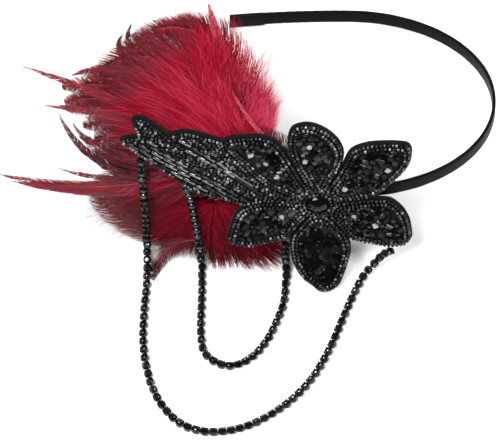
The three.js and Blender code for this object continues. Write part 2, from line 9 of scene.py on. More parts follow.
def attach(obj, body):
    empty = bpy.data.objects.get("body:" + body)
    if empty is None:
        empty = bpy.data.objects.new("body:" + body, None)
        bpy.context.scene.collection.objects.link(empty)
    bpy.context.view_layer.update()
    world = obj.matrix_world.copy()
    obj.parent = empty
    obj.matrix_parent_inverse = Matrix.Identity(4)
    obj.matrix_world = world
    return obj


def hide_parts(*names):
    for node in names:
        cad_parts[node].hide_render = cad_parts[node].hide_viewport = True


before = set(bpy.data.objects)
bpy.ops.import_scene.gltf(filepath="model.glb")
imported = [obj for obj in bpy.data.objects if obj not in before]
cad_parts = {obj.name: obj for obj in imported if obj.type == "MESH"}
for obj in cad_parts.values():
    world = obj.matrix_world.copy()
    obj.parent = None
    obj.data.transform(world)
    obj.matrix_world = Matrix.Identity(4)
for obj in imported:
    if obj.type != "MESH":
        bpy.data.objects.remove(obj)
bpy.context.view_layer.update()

# A beaded flapper headband on a pale table. Lengths are in millimetres until build_piece() turns
# them into metres. The flower is laid out in the side frame: x along the near arm towards the
# crown, y across the ribbon and z outwards from the ribbon's face.
MM = 0.001
ROOT = "root"

# Sizes that the pieces share with the CAD model
BAND_LEAN = math.radians(21)
BAND_SKEW = math.radians(0.75)
BAND_SPREAD = 129.5
CROWN_DEPTH = 71.7
CROWN_OFFSET = 13.9
ARM_LENGTH = 61.0
ARM_DRAW = 4.4
RIBBON_WIDTH = 6.8
RIBBON_THICKNESS = 1.8
RIBBON_FOLD = 18.0
FOLD_THICKNESS = 0.7
FELT_BACK = 0.3
FELT_FRONT = 1.8
FELT_MARGIN = 0.5
BEAD_BACK = 2.1
FLOWER_MIDDLE = np.array([-2.15, -5.2])
PETAL_FOLD_AT = 18.0
PETAL_FOLD_ANGLE = math.radians(15)
LEAF_BASE = np.array([-38.0, -7.25])
LEAF_ANGLE = math.radians(147)
LEAF_LENGTH = 76.0
LEAF_WIDTH = 30.0
STONE_RADIUS = 5.8
STONE_HEIGHT = 4.2
CHAIN_PITCH = 4.4
QUILL_HEAD = np.array([-36.0, 13.8])
FLUFF_TAIL = np.array([-52.0, -10.5])
PETALS = ("petal_1", "petal_2", "petal_3", "petal_4", "petal_5", "petal_6")
BENT_PETAL = "petal_5"
HUB_RADIUS = 9.6
BRIDGE_MIDDLE = np.array([-15.0, -4.9])
BRIDGE_REACH = np.array([11.0, 6.5])

# Sizes of the small things that only the scene holds
SEED_RADIUS = 0.98
SEED_PITCH = 2.02
BUGLE_LENGTH = 6.9
BUGLE_RADIUS = 0.82
CHIP_PITCH = 3.45
BEAD_JITTER = 0.10
# A high power leaves most beads dark and a few bright
SEED_TONE_POWER = 2.9
BUGLE_TONE_POWER = 1.6

# Axes of the side frame in the shared frame
ALONG = np.array([1.0, 0.0, 0.0])
ACROSS = np.array([0.0, math.sin(BAND_LEAN), math.cos(BAND_LEAN)])
OUT = np.array([0.0, -math.cos(BAND_LEAN), math.sin(BAND_LEAN)])
SIDE_AXES = np.stack([ALONG, ACROSS, OUT])
UP = np.array([0.0, 0.0, 1.0])      # off the felt in the side frame, off the table in the shared one


def node_points(name):
    """Vertices of a CAD node in millimetres."""
    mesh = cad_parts[name].data
    points = np.zeros(len(mesh.vertices) * 3)
    mesh.vertices.foreach_get("co", points)
    return points.reshape(-1, 3) / MM


def find_side_origin():
    """The side frame's origin, found from the foot of the middle stone."""
    stone = node_points("center_stone")
    depth = stone @ OUT
    foot = np.unique(np.round(stone[depth < depth.min() + 0.05], 2), axis=0)
    middle = (foot.min(0) + foot.max(0)) / 2
    middle += OUT * (depth.min() - middle @ OUT)
    return middle - ALONG * FLOWER_MIDDLE[0] - ACROSS * FLOWER_MIDDLE[1] - OUT * BEAD_BACK


SIDE_ORIGIN = find_side_origin()
SIDE_LIFT = ((BAND_SPREAD + RIBBON_THICKNESS) * math.sin(BAND_LEAN)
             + RIBBON_WIDTH / 2 * math.cos(BAND_LEAN))
TABLE_ORIGIN = SIDE_ORIGIN - np.array([0.0, 0.0, SIDE_LIFT])


def to_world(points):
    """Points of the side frame in the shared frame."""
    return SIDE_ORIGIN + np.asarray(points) @ SIDE_AXES


def to_side(points):
    """Points of the shared frame in the side frame."""
    return (np.asarray(points) - SIDE_ORIGIN) @ SIDE_AXES.T


def unit(vectors):
    """The vectors at length 1."""
    return vectors / np.maximum(np.linalg.norm(vectors, axis=-1, keepdims=True), 1e-9)


# Mesh assembly

Part = namedtuple("Part", "points faces material tone smooth")


def part(points, faces, material=0, tone=0.5, smooth=True):
    """Loose geometry: points, lists of faces with as many corners, a material, a tone per point."""
    points = np.asarray(points, float).reshape(-1, 3)
    tones = np.broadcast_to(np.asarray(tone, float), (len(points),))
    return Part(points, [np.asarray(f, int) for f in faces if len(f)], material, tones, smooth)


def build_piece(name, parts, looks, replaces=()):
    """One object of all the parts, in metres, riding on the band's body."""
    points = np.concatenate([p.points for p in parts]) * MM
    tones = np.concatenate([p.tone for p in parts])
    corners, starts, materials, smooths = [], [], [], []
    first = corner_count = 0
    for p in parts:
        for faces in p.faces:
            corners.append((faces + first).ravel())
            starts.append(corner_count + np.arange(len(faces)) * faces.shape[1])
            corner_count += faces.size
            materials.append(np.full(len(faces), p.material))
            smooths.append(np.full(len(faces), p.smooth))
        first += len(p.points)
    mesh = bpy.data.meshes.new(name)
    mesh.vertices.add(len(points))
    mesh.vertices.foreach_set("co", points.astype(np.float32).ravel())
    mesh.loops.add(corner_count)
    mesh.loops.foreach_set("vertex_index", np.concatenate(corners).astype(np.int32))
    starts = np.concatenate(starts).astype(np.int32)
    mesh.polygons.add(len(starts))
    mesh.polygons.foreach_set("loop_start", starts)
    mesh.polygons.foreach_set("material_index", np.concatenate(materials).astype(np.int32))
    mesh.polygons.foreach_set("use_smooth", np.concatenate(smooths).astype(bool))
    mesh.update(calc_edges=True)
    shade = mesh.attributes.new("tone", "FLOAT", "POINT")
    shade.data.foreach_set("value", tones.astype(np.float32))
    for look in looks:
        mesh.materials.append(look)
    piece = bpy.data.objects.new(name, mesh)
    bpy.context.scene.collection.objects.link(piece)
    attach(piece, ROOT)
    if replaces:
        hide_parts(*replaces)
    return piece


def stamp(template, origins, frames, scales=1.0, tones=0.5, material=0, smooth=True):
    """Copies of a template (points, faces) at origins, turned by frames whose rows are its axes."""
    points, faces = template
    points = np.asarray(points, float)
    origins = np.asarray(origins, float).reshape(-1, 3)
    count, size = len(origins), len(points)
    scales = np.asarray(scales, float)
    if scales.ndim == 1:
        scales = scales[:, None]
    scaled = points[None] * (scales[:, None, :] if scales.ndim == 2 else scales)
    scaled = np.broadcast_to(scaled, (count, size, 3))
    placed = np.einsum("mni,mij->mnj", scaled, frames) + origins[:, None]
    offsets = np.arange(count)[:, None, None] * size
    copies = [(np.asarray(f, int)[None] + offsets).reshape(-1, len(f[0])) for f in faces if len(f)]
    tones = np.repeat(np.broadcast_to(np.asarray(tones, float), (count,)), size)
    return part(placed.reshape(-1, 3), copies, material, tones, smooth)


def lathe(profile, sides, along=0):
    """Closed ring of a closed profile (along the axis, radius), turned round the local x or z axis."""
    points, faces = [], []
    rows = len(profile)
    for i in range(sides):
        turn = 2 * math.pi * i / sides
        for a, r in profile:
            y, z = r * math.cos(turn), r * math.sin(turn)
            points.append((a, y, z) if along == 0 else (y, z, a))
    for i in range(sides):
        for k in range(rows):
            a, b = i * rows + k, i * rows + (k + 1) % rows
            c, d = (i + 1) % sides * rows + (k + 1) % rows, (i + 1) % sides * rows + k
            faces.append((a, d, c, b))
    return points, [faces]


def rings_body(rings, flip=False):
    """Closed body through rings of as many points each, with flat ends."""
    rings = np.asarray(rings, float)
    count, sides = rings.shape[:2]
    faces = []
    for r in range(count - 1):
        for i in range(sides):
            j = (i + 1) % sides
            quad = (r * sides + i, r * sides + j, (r + 1) * sides + j, (r + 1) * sides + i)
            faces.append(quad[::-1] if flip else quad)
    last = (count - 1) * sides
    ends = [tuple(range(sides))[::-1], tuple(last + i for i in range(sides))]
    if flip:
        ends = [end[::-1] for end in ends]
    return rings.reshape(-1, 3), [faces, ends]


# Curves

def circle(count, radius=1.0, middle=(0.0, 0.0)):
    """Points spread evenly round a circle, counter-clockwise."""
    turn = np.arange(count) * 2 * math.pi / count
    return np.asarray(middle) + radius * np.stack([np.cos(turn), np.sin(turn)], 1)


def centripetal(points, per_span=24, closed=False):
    """Fine points on a centripetal Catmull-Rom curve through the given points."""
    p = np.asarray(points, float)
    if closed:
        p = np.vstack([p[-1], p, p[0], p[1]])
    else:
        p = np.vstack([2 * p[0] - p[1], p, 2 * p[-1] - p[-2]])
    made = []
    t = np.linspace(0, 1, per_span, endpoint=False)[:, None]
    for a, b, c, d in zip(p[:-3], p[1:-2], p[2:-1], p[3:]):
        ab, bc, cd = (max(np.linalg.norm(v) ** 0.5, 1e-6) for v in (b - a, c - b, d - c))
        leave = ((b - a) / ab - (c - a) / (ab + bc) + (c - b) / bc) * bc
        arrive = ((c - b) / bc - (d - b) / (bc + cd) + (d - c) / cd) * bc
        made.append(b + leave * t + (3 * (c - b) - 2 * leave - arrive) * t**2
                    + (2 * (b - c) + leave + arrive) * t**3)
    made = np.concatenate(made)
    return made if closed else np.vstack([made, p[-2]])


def spaced(points, pitch, closed=False):
    """Evenly spaced points on a polyline, with the directions there."""
    line = np.vstack([points, points[:1]]) if closed else np.asarray(points)
    run = np.concatenate([[0], np.cumsum(np.linalg.norm(np.diff(line, axis=0), axis=1))])
    count = max(int(round(run[-1] / pitch)), 1)
    at = np.linspace(0, run[-1], count + 1)
    if closed:
        at = at[:-1]

    def point(s):
        s = s % run[-1] if closed else np.clip(s, 0, run[-1])
        return np.stack([np.interp(s, run, line[:, k]) for k in range(line.shape[1])], 1)

    step = run[-1] / count / 4
    return point(at), unit(point(at + step) - point(at - step))


def foot_outline(name):
    """Counter-clockwise outline of a CAD solid's back face, laid flat in the side frame."""
    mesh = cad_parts[name].data
    places = to_side(node_points(name))
    if name == BENT_PETAL:
        places = unfolded(places)
    ids = {}
    key = [ids.setdefault(tuple(np.round(p, 1)), len(ids)) for p in places]
    edges = set()
    for face in mesh.polygons:
        if np.array(face.normal) @ OUT > -0.9:
            continue
        ring = [key[v] for v in face.vertices]
        for a, b in zip(ring, ring[1:] + ring[:1]):
            if (b, a) in edges:
                edges.remove((b, a))
            else:
                edges.add((a, b))
    follow = dict(edges)
    spot = {k: places[i] for i, k in enumerate(key)}
    start = here = next(iter(follow))
    walk = []
    while True:
        walk.append(spot[here][:2])
        here = follow[here]
        if here == start or len(walk) > len(follow):
            break
    return np.array(walk[::-1])


FOLD_LINE = FLOWER_MIDDLE[1] - PETAL_FOLD_AT


def folded(points):
    """The bottom petal's bend: what lies below the fold line turns forward."""
    points = np.array(points, float)
    down = np.maximum(FOLD_LINE - points[..., 1], 0)
    bent = down > 0
    cos, sin = math.cos(PETAL_FOLD_ANGLE), math.sin(PETAL_FOLD_ANGLE)
    height = points[..., 2]
    y = np.where(bent, FOLD_LINE - down * cos + height * sin, points[..., 1])
    z = np.where(bent, down * sin + height * cos, height)
    return np.stack([points[..., 0], y, z], -1)


def unfolded(points):
    """The reverse of folded(), for the points of the bent solid."""
    cos, sin = math.cos(PETAL_FOLD_ANGLE), math.sin(PETAL_FOLD_ANGLE)
    dy = FOLD_LINE - points[:, 1]
    down = dy * cos + points[:, 2] * sin
    height = points[:, 2] * cos - dy * sin
    bent = (points[:, 2] > BEAD_BACK + 0.1) & (down > 0) & (abs(height) < 8) & (dy > -2)
    y = np.where(bent, FOLD_LINE - down, points[:, 1])
    z = np.where(bent, height, points[:, 2])
    return np.stack([points[:, 0], y, z], 1)


def smooth_outline(corners):
    """The outline as a fine closed curve."""
    return spaced(centripetal(corners, closed=True), pitch=0.7, closed=True)[0]


def at_height(flat, height):
    """Flat points, raised to a height."""
    return np.column_stack([flat, np.full(len(flat), height)])


def inward(outline):
    """Directions into the outline, at each of its points."""
    ahead = np.roll(outline, -1, 0) - np.roll(outline, 1, 0)
    return unit(np.stack([-ahead[:, 1], ahead[:, 0]], 1))


def clearance(points, outline):
    """Distance from each point to the outline."""
    return np.sqrt(((points[:, None] - outline[None]) ** 2).sum(2)).min(1)


def inside(points, outline):
    """True for points within the closed outline."""
    a, b = outline, np.roll(outline, -1, 0)
    x, y = points[:, 0][:, None], points[:, 1][:, None]
    crossing = (a[:, 1] > y) != (b[:, 1] > y)
    with np.errstate(divide="ignore", invalid="ignore"):
        cut = a[:, 0] + (y - a[:, 1]) * (b[:, 0] - a[:, 0]) / (b[:, 1] - a[:, 1])
    return (crossing & (x < cut)).sum(1) % 2 == 1


ROW_SLACK = 0.12        # how far a row of beads may cut the corners of its outline
SHORTEST_ROW = 8        # in points of the outline


def inset_row(outline, distance, pitch):
    """Points and directions of a row of beads that runs along inside the outline."""
    moved = outline + inward(outline) * distance
    kept = moved[(clearance(moved, outline) > distance - ROW_SLACK) & inside(moved, outline)]
    if len(kept) < SHORTEST_ROW:
        return np.zeros((0, 2)), np.zeros((0, 2))
    return spaced(kept, pitch=pitch, closed=True)


# Materials

def shader_group(name, inputs, outputs):
    """An empty shader node group with named sockets, its nodes and its links."""
    group = bpy.data.node_groups.new(name, "ShaderNodeTree")
    for title, kind, value in inputs:
        socket = group.interface.new_socket(title, in_out="INPUT", socket_type=kind)
        socket.default_value = value
    for title, kind in outputs:
        group.interface.new_socket(title, in_out="OUTPUT", socket_type=kind)
    return group, group.nodes.new("NodeGroupInput"), group.nodes.new("NodeGroupOutput")


def node(tree, kind, **values):
    """A node with its properties and unlinked inputs set by name."""
    made = tree.nodes.new(kind)
    for key, value in values.items():
        if hasattr(made, key):
            setattr(made, key, value)
        else:
            made.inputs[key.replace("_", " ")].default_value = value
    return made


def math_node(tree, operation, first, second, clamp=False):
    """The output of a sum or product of numbers and sockets."""
    made = tree.nodes.new("ShaderNodeMath")
    made.operation = operation
    made.use_clamp = clamp
    for socket, value in zip(made.inputs, (first, second)):
        if isinstance(value, (int, float)):
            socket.default_value = value
        else:
            tree.links.new(value, socket)
    return made.outputs[0]


def make_toned_colour():
    """Colour from a deep through a middle to a bright dye, by the tone of each bead or strand."""
    group, given, result = shader_group(
        "toned_colour",
        [("Deep", "NodeSocketColor", (0, 0, 0, 1)), ("Middle", "NodeSocketColor", (0.5, 0.5, 0.5, 1)),
         ("Bright", "NodeSocketColor", (1, 1, 1, 1)), ("Mottle", "NodeSocketFloat", 0.3),
         ("Scale", "NodeSocketFloat", 200.0)],
        [("Colour", "NodeSocketColor"), ("Tone", "NodeSocketFloat")])
    tone = node(group, "ShaderNodeAttribute", attribute_name="tone")
    place = node(group, "ShaderNodeTexCoord")
    noise = node(group, "ShaderNodeTexNoise", Detail=3.0)
    group.links.new(place.outputs["Object"], noise.inputs["Vector"])
    group.links.new(given.outputs["Scale"], noise.inputs["Scale"])
    spread = math_node(group, "SUBTRACT", noise.outputs["Fac"], 0.5)
    spread = math_node(group, "MULTIPLY", spread, given.outputs["Mottle"])
    level = math_node(group, "ADD", tone.outputs["Fac"], spread, clamp=True)
    twice = math_node(group, "MULTIPLY", level, 2.0)
    first_half = math_node(group, "ADD", twice, 0.0, clamp=True)
    second_half = math_node(group, "SUBTRACT", twice, 1.0, clamp=True)
    low = blend(group, first_half, given.outputs["Deep"], given.outputs["Middle"])
    high = blend(group, second_half, low, given.outputs["Bright"])
    group.links.new(high, result.inputs["Colour"])
    group.links.new(level, result.inputs["Tone"])
    return group


def blend(tree, factor, first, second):
    """A mix of two colours."""
    mix = node(tree, "ShaderNodeMix", data_type="RGBA")
    tree.links.new(factor, mix.inputs["Factor"])
    tree.links.new(first, mix.inputs[6])
    tree.links.new(second, mix.inputs[7])
    return mix.outputs[2]


def make_fine_grain():
    """A height of fine grain, coarse unevenness and an optional weave of crossing ribs."""
    group, given, result = shader_group(
        "fine_grain",
        [("Scale", "NodeSocketFloat", 800.0), ("Coarse", "NodeSocketFloat", 0.3),
         ("Weave", "NodeSocketFloat", 0.0), ("Threads", "NodeSocketFloat", 900.0)],
        [("Height", "NodeSocketFloat")])
    place = node(group, "ShaderNodeTexCoord")
    fine = node(group, "ShaderNodeTexNoise", Detail=4.0)
    coarse = node(group, "ShaderNodeTexNoise", Detail=2.0)
    group.links.new(place.outputs["Object"], fine.inputs["Vector"])
    group.links.new(place.outputs["Object"], coarse.inputs["Vector"])
    group.links.new(given.outputs["Scale"], fine.inputs["Scale"])
    group.links.new(math_node(group, "MULTIPLY", given.outputs["Scale"], 0.12), coarse.inputs["Scale"])
    ribs = []
    for direction in ("X", "Z"):
        wave = node(group, "ShaderNodeTexWave", bands_direction=direction, Distortion=0.4)
        group.links.new(place.outputs["Object"], wave.inputs["Vector"])
        group.links.new(given.outputs["Threads"], wave.inputs["Scale"])
        ribs.append(wave.outputs["Fac"])
    weave = math_node(group, "MULTIPLY", math_node(group, "MULTIPLY", *ribs), given.outputs["Weave"])
    uneven = math_node(group, "MULTIPLY", coarse.outputs["Fac"], given.outputs["Coarse"])
    total = math_node(group, "ADD", math_node(group, "ADD", fine.outputs["Fac"], uneven), weave)
    group.links.new(total, result.inputs["Height"])
    return group


TONED_COLOUR = make_toned_colour()
FINE_GRAIN = make_fine_grain()


def follow_tone(tree, tone, socket, low, high):
    """Lets a shader's socket run from low to high with the tone."""
    level = node(tree, "ShaderNodeMapRange", To_Min=low, To_Max=high)
    tree.links.new(tone, level.inputs["Value"])
    tree.links.new(level.outputs["Result"], socket)


def finish(name, dyes, roughness, mottle, scale, surface, constants=None, metallic=None, gloss=None):
    """A material: toned colour, roughness and gloss that follow the tone, and a grain bump."""
    look = bpy.data.materials.new(name)
    look.use_nodes = True
    tree = look.node_tree
    shader = tree.nodes["Principled BSDF"]
    colour = node(tree, "ShaderNodeGroup", node_tree=TONED_COLOUR)
    for title, dye in zip(("Deep", "Middle", "Bright"), dyes):
        colour.inputs[title].default_value = (*dye, 1)
    colour.inputs["Mottle"].default_value = mottle
    colour.inputs["Scale"].default_value = scale
    tree.links.new(colour.outputs["Colour"], shader.inputs["Base Color"])
    follow_tone(tree, colour.outputs["Tone"], shader.inputs["Roughness"], *roughness)
    if gloss:
        follow_tone(tree, colour.outputs["Tone"], shader.inputs["Specular IOR Level"], *gloss)
    if metallic:
        metal = node(tree, "ShaderNodeMapRange", From_Min=metallic[0], From_Max=metallic[1])
        tree.links.new(colour.outputs["Tone"], metal.inputs["Value"])
        tree.links.new(metal.outputs["Result"], shader.inputs["Metallic"])
    height = node(tree, "ShaderNodeGroup", node_tree=FINE_GRAIN)
    for title, value in surface["group"].items():
        height.inputs[title].default_value = value
    bump = node(tree, "ShaderNodeBump", Strength=surface["strength"], Distance=surface["distance"])
    tree.links.new(height.outputs["Height"], bump.inputs["Height"])
    tree.links.new(bump.outputs["Normal"], shader.inputs["Normal"])
    for title, value in (constants or {}).items():
        shader.inputs[title].default_value = value
    return look


def grain(scale, strength, distance, **group):
    """The values of a grain bump. Distance is in metres."""
    return {"group": {"Scale": scale, **group}, "strength": strength, "distance": distance}


def shades(*levels):
    """Nearly neutral dark colours of the given brightness."""
    return [(v * 0.94, v * 0.97, v * 1.06) for v in levels]


# Every material of the headband
LOOKS = {
    "satin": finish(
        "black_satin_ribbon", shades(0.001, 0.003, 0.008), (0.40, 0.55), 0.5, 260,
        grain(1800, 0.35, 0.0002, Coarse=0.5, Weave=1.0, Threads=620), {"Specular IOR Level": 0.06}),
    "felt": finish(
        "black_craft_felt", shades(0.002, 0.005, 0.010), (0.9, 1.0), 0.6, 900,
        grain(2600, 0.7, 0.0003, Coarse=0.6), {"Sheen Weight": 0.05, "Specular IOR Level": 0.1}),
    "seed": finish(
        "black_glass_seed_beads", shades(0.0015, 0.003, 0.02), (0.03, 0.09), 0.2, 400,
        grain(500, 0.05, 0.0001), {"IOR": 1.7}, gloss=(0.10, 1.7)),
    "bugle": finish(
        "black_bugle_beads", shades(0.001, 0.004, 0.03), (0.05, 0.13), 0.3, 600,
        grain(300, 0.12, 0.0002, Weave=0.6, Threads=1300), {"IOR": 1.7}, gloss=(0.08, 1.9)),
    # The chips' bright dye is a painted glint, for the few chips that catch the light
    "chip": finish(
        "dark_cut_chips_and_painted_glints", shades(0.001, 0.03, 0.30), (0.05, 0.22), 0.04, 700,
        grain(700, 0.05, 0.0001), gloss=(0.10, 0.6)),
    "onyx": finish(
        "black_centre_stone", shades(0.001, 0.003, 0.03), (0.04, 0.12), 0.2, 500,
        grain(400, 0.04, 0.0001), {"Specular IOR Level": 0.2}),
    "jet": finish(
        "jet_faceted_stone", shades(0.002, 0.006, 0.05), (0.03, 0.1), 0.2, 500,
        grain(400, 0.04, 0.0001), {"IOR": 1.9}, gloss=(0.12, 0.8)),
    "cup": finish(
        "black_plated_cups", shades(0.002, 0.012, 0.06), (0.2, 0.36), 0.4, 900,
        grain(1500, 0.15, 0.0001), metallic=(-1.5, 0.2)),
    "hackle": finish(
        "wine_hackle", [(0.018, 0.001, 0.003), (0.235, 0.006, 0.018), (0.60, 0.06, 0.11)],
        (0.4, 0.5), 0.22, 90, grain(900, 0.2, 0.0002),
        {"Sheen Weight": 0.05, "Sheen Tint": (0.9, 0.4, 0.5, 1), "Specular IOR Level": 0.22}),
    "fluff": finish(
        "crimson_marabou", [(0.075, 0.001, 0.005), (0.53, 0.006, 0.033), (0.72, 0.12, 0.22)],
        (0.6, 0.75), 0.15, 60, grain(900, 0.2, 0.0002),
        {"Sheen Weight": 0.03, "Sheen Tint": (1.0, 0.35, 0.5, 1), "Specular IOR Level": 0.05}),
    "quill": finish(
        "feather_quill", [(0.09, 0.006, 0.014), (0.30, 0.03, 0.05), (0.75, 0.45, 0.42)],
        (0.3, 0.4), 0.2, 200, grain(700, 0.2, 0.0002), {"Specular IOR Level": 0.6}),
}


# Band

ARM_STEPS, CROWN_STEPS = 90, 120
FAR_FROM_END = 1e3
FOLD_START = 0.5        # run over which the ribbon thickens where its fold begins
FOLD_SPARE_WIDTH = 0.28
EDGE_WAVE = 0.05
WRINKLE_DEPTH = 0.10
# The ribbon's section, in shares of its half-width and half-thickness
RIBBON_SECTION = [
    (1, 0), (1, 0.55), (0.93, 0.9), (0.8, 1), (0.3, 1.04), (-0.3, 1.04), (-0.8, 1), (-0.93, 0.9),
    (-1, 0.55), (-1, 0), (-1, -0.55), (-0.93, -0.9), (-0.8, -1), (0, -1), (0.8, -1), (0.93, -0.9),
    (1, -0.55),
]


def band_station(share, arm):
    """A point of the band's middle line, in the plane of the C, and its distance from the end."""
    half = BAND_SPREAD / 2
    return (CROWN_OFFSET - ARM_LENGTH * share, -half + arm * (half - ARM_DRAW * share * share),
            ARM_LENGTH * (1 - share))


def band_stations():
    """Rows of the band's middle line: its place in the plane of the C, and how far the end is."""
    half = BAND_SPREAD / 2
    stations = [band_station(s, -1) for s in np.linspace(1, 0, ARM_STEPS)]
    for turn in np.linspace(-math.pi / 2, math.pi / 2, CROWN_STEPS)[1:-1]:
        stations.append((CROWN_OFFSET + CROWN_DEPTH * math.cos(turn), -half + half * math.sin(turn),
                         FAR_FROM_END))
    return np.array(stations + [band_station(s, 1) for s in np.linspace(0, 1, ARM_STEPS)])


def make_band():
    """Ribbon-wound band with the ribbon turned over at both ends."""
    stations = band_stations()
    count = len(stations)
    ahead = unit(np.gradient(stations[:, :2], axis=0))
    normal = np.stack([ahead[:, 1], -ahead[:, 0]], 1)
    rng = np.random.default_rng(11)
    over = np.clip((RIBBON_FOLD - stations[:, 2]) / FOLD_START, 0, 1)
    wrinkle = np.convolve(rng.normal(0, 1, count), np.ones(5) / 5, "same") * WRINKLE_DEPTH
    wide = RIBBON_WIDTH / 2 + FOLD_SPARE_WIDTH * over + EDGE_WAVE * np.sin(np.arange(count) * 0.9)
    thick = (RIBBON_THICKNESS + FOLD_THICKNESS * over) / 2
    inset = FOLD_THICKNESS / 2 * over
    cos, sin = math.cos(BAND_SKEW), math.sin(BAND_SKEW)
    rings = []
    for i in range(count):
        ring = []
        for a, b in RIBBON_SECTION:
            ripple = wrinkle[i] * over[i] * b * (0.5 + 0.5 * math.sin(3 * a + i))
            bulge = thick[i] * b - inset[i] + ripple
            x = stations[i, 0] + normal[i, 0] * bulge
            z = stations[i, 1] + normal[i, 1] * bulge - RIBBON_THICKNESS / 2
            ring.append((x * cos - z * sin, wide[i] * a, x * sin + z * cos))
        rings.append(ring)
    points, faces = rings_body(rings)
    tones = np.repeat(0.35 + 0.25 * over + 0.1 * rng.random(count), len(RIBBON_SECTION))
    build_piece("ribbon_band", [part(to_world(points), faces, 0, tones)], [LOOKS["satin"]],
                ["band"])


# Felt

PLATE_LIP = 0.25        # rounding of the felt's edges
LIFT_OFF_TABLE = 0.1    # of the lowest hairs


def plate_triangles(outlines):
    """Flat points and counter-clockwise triangles that fill the union of the outlines."""
    corners, edges, faces = [], [], []
    for outline in outlines:
        ring = [len(corners) + i for i in range(len(outline))]
        corners += [Vector(p) for p in outline]
        edges += list(zip(ring, ring[1:] + ring[:1]))
        faces.append(ring)
    flat, _, triangles, *_ = geometry.delaunay_2d_cdt(corners, edges, faces, 1, 1e-4)
    flat = np.array([tuple(v) for v in flat])
    triangles = np.array([t for t in triangles if len(t) == 3])
    a, b, c = (flat[triangles[:, k]] for k in range(3))
    area = np.cross(b - a, c - a)
    triangles[area < 0] = triangles[area < 0][:, ::-1]
    return flat, triangles, np.abs(area).sum() / 2


def plate_rim(flat, triangles):
    """Edges along the plate's border, and the direction out of the plate at each point."""
    half_edges = set()
    for a, b, c in triangles:
        for e in ((a, b), (b, c), (c, a)):
            half_edges.add(e)
    rim = [e for e in half_edges if (e[1], e[0]) not in half_edges]
    push = np.zeros((len(flat), 2))
    for a, b in rim:
        side = unit(np.array([flat[b, 1] - flat[a, 1], flat[a, 0] - flat[b, 0]]))
        push[a] += side
        push[b] += side
    return rim, unit(push) * (np.linalg.norm(push, axis=1, keepdims=True) > 1e-6)


def plate_parts(outlines, low, high, lip, bend=None):
    """Points, faces and flat area of a closed plate over the outlines, with rounded edges."""
    flat, triangles, area = plate_triangles(outlines)
    rim, push = plate_rim(flat, triangles)
    count = len(flat)
    levels = [(low, -lip), (low + lip, 0), (high - lip, 0), (high, -lip)]
    points = np.concatenate([at_height(flat + push * out, z) for z, out in levels])
    if bend:
        points = bend(points)
    walls = [(a + k * count, b + k * count, b + (k + 1) * count, a + (k + 1) * count)
             for k in range(3) for a, b in rim]
    used = np.unique(triangles)
    border = sorted({e[0] for e in rim})
    keep = np.concatenate([used, [v + k * count for k in (1, 2) for v in border], used + 3 * count])
    keep = keep.astype(int)
    order = np.full(4 * count, -1)
    order[keep] = np.arange(len(keep))
    lids = np.concatenate([triangles[:, ::-1], triangles + 3 * count])
    return points[keep], [order[lids], order[np.array(walls)]], area


def grown(outline, margin):
    """The outline moved outwards by the margin."""
    return outline - inward(outline) * margin


def edge_fuzz(outline, bend, rng):
    """Short felt hairs that stand out of a cut edge, four for each point of the outline."""
    count = len(outline) * 4
    pick = rng.integers(0, len(outline), count)
    out = -inward(outline)[pick]
    base = np.column_stack([outline[pick] + out * -0.15, rng.uniform(FELT_BACK, FELT_FRONT, count)])
    aim = np.column_stack([out, rng.normal(0, 0.5, count)])
    aim[:, :2] += rng.normal(0, 0.6, (count, 2))
    if bend:
        tip = bend(base + unit(aim))
        base = bend(base)
        aim = tip - base
    turned = unit(aim + rng.normal(0, 0.5, (count, 3)))
    return strands(base, unit(aim), turned, rng.uniform(0.4, 1.0, count), 0.035, 2, rng, 0.6, 0.9)


def bridge_outline():
    """The felt between the leaf's foot and the flower's middle."""
    return BRIDGE_MIDDLE + circle(28) * BRIDGE_REACH


def make_felt(outlines):
    """Flower and leaf felts, with hairs along their cut edges."""
    rng = np.random.default_rng(5)
    flat = {name: grown(outline, FELT_MARGIN) for name, outline in outlines.items()}
    top = [outline for name, outline in flat.items() if name != BENT_PETAL]
    top += [circle(24, HUB_RADIUS, FLOWER_MIDDLE), bridge_outline()]
    points, faces, area = plate_parts(top, FELT_BACK, FELT_FRONT, PLATE_LIP)
    low_points, low_faces, low_area = plate_parts([with_fold_points(flat[BENT_PETAL])], FELT_BACK,
                                                  FELT_FRONT, PLATE_LIP, folded)
    low_points = to_world(low_points)
    low_points[:, 2] = np.maximum(low_points[:, 2], 0)
    parts = [part(to_world(points), faces, 0, 0.4, False), part(low_points, low_faces, 0, 0.4, False)]
    for name, outline in flat.items():
        fuzz = edge_fuzz(outline, folded if name == BENT_PETAL else None, rng)
        hairs = to_world(fuzz.points)
        hairs[:, 2] = np.maximum(hairs[:, 2], LIFT_OFF_TABLE)
        parts.append(fuzz._replace(points=hairs))
    felt = build_piece("felt_flower_and_leaf", parts, [LOOKS["felt"]], ["felt_backing"])


def with_fold_points(outline):
    """The outline with a point where the fold line crosses it, so that the bend is crisp."""
    made = []
    for a, b in zip(outline, np.roll(outline, -1, 0)):
        made.append(a)
        if (a[1] - FOLD_LINE) * (b[1] - FOLD_LINE) < 0:
            share = (FOLD_LINE - a[1]) / (b[1] - a[1])
            made.append(a + (b - a) * share)
    return np.array(made)


# Beads, chips and bugles

def bead_template():
    """A seed bead of radius 1 with a threading hole."""
    profile = [(-0.62, 0.30), (-0.80, 0.55), (-0.52, 0.86), (0, 1.0), (0.52, 0.86), (0.80, 0.55),
               (0.62, 0.30)]
    return lathe(profile, 8)


def bugle_template():
    """A long bead of length 1 and radius 1."""
    profile = [(-0.5, 0.35), (-0.5, 0.8), (-0.475, 1.0), (0.475, 1.0), (0.5, 0.8), (0.5, 0.35)]
    return lathe(profile, 8)


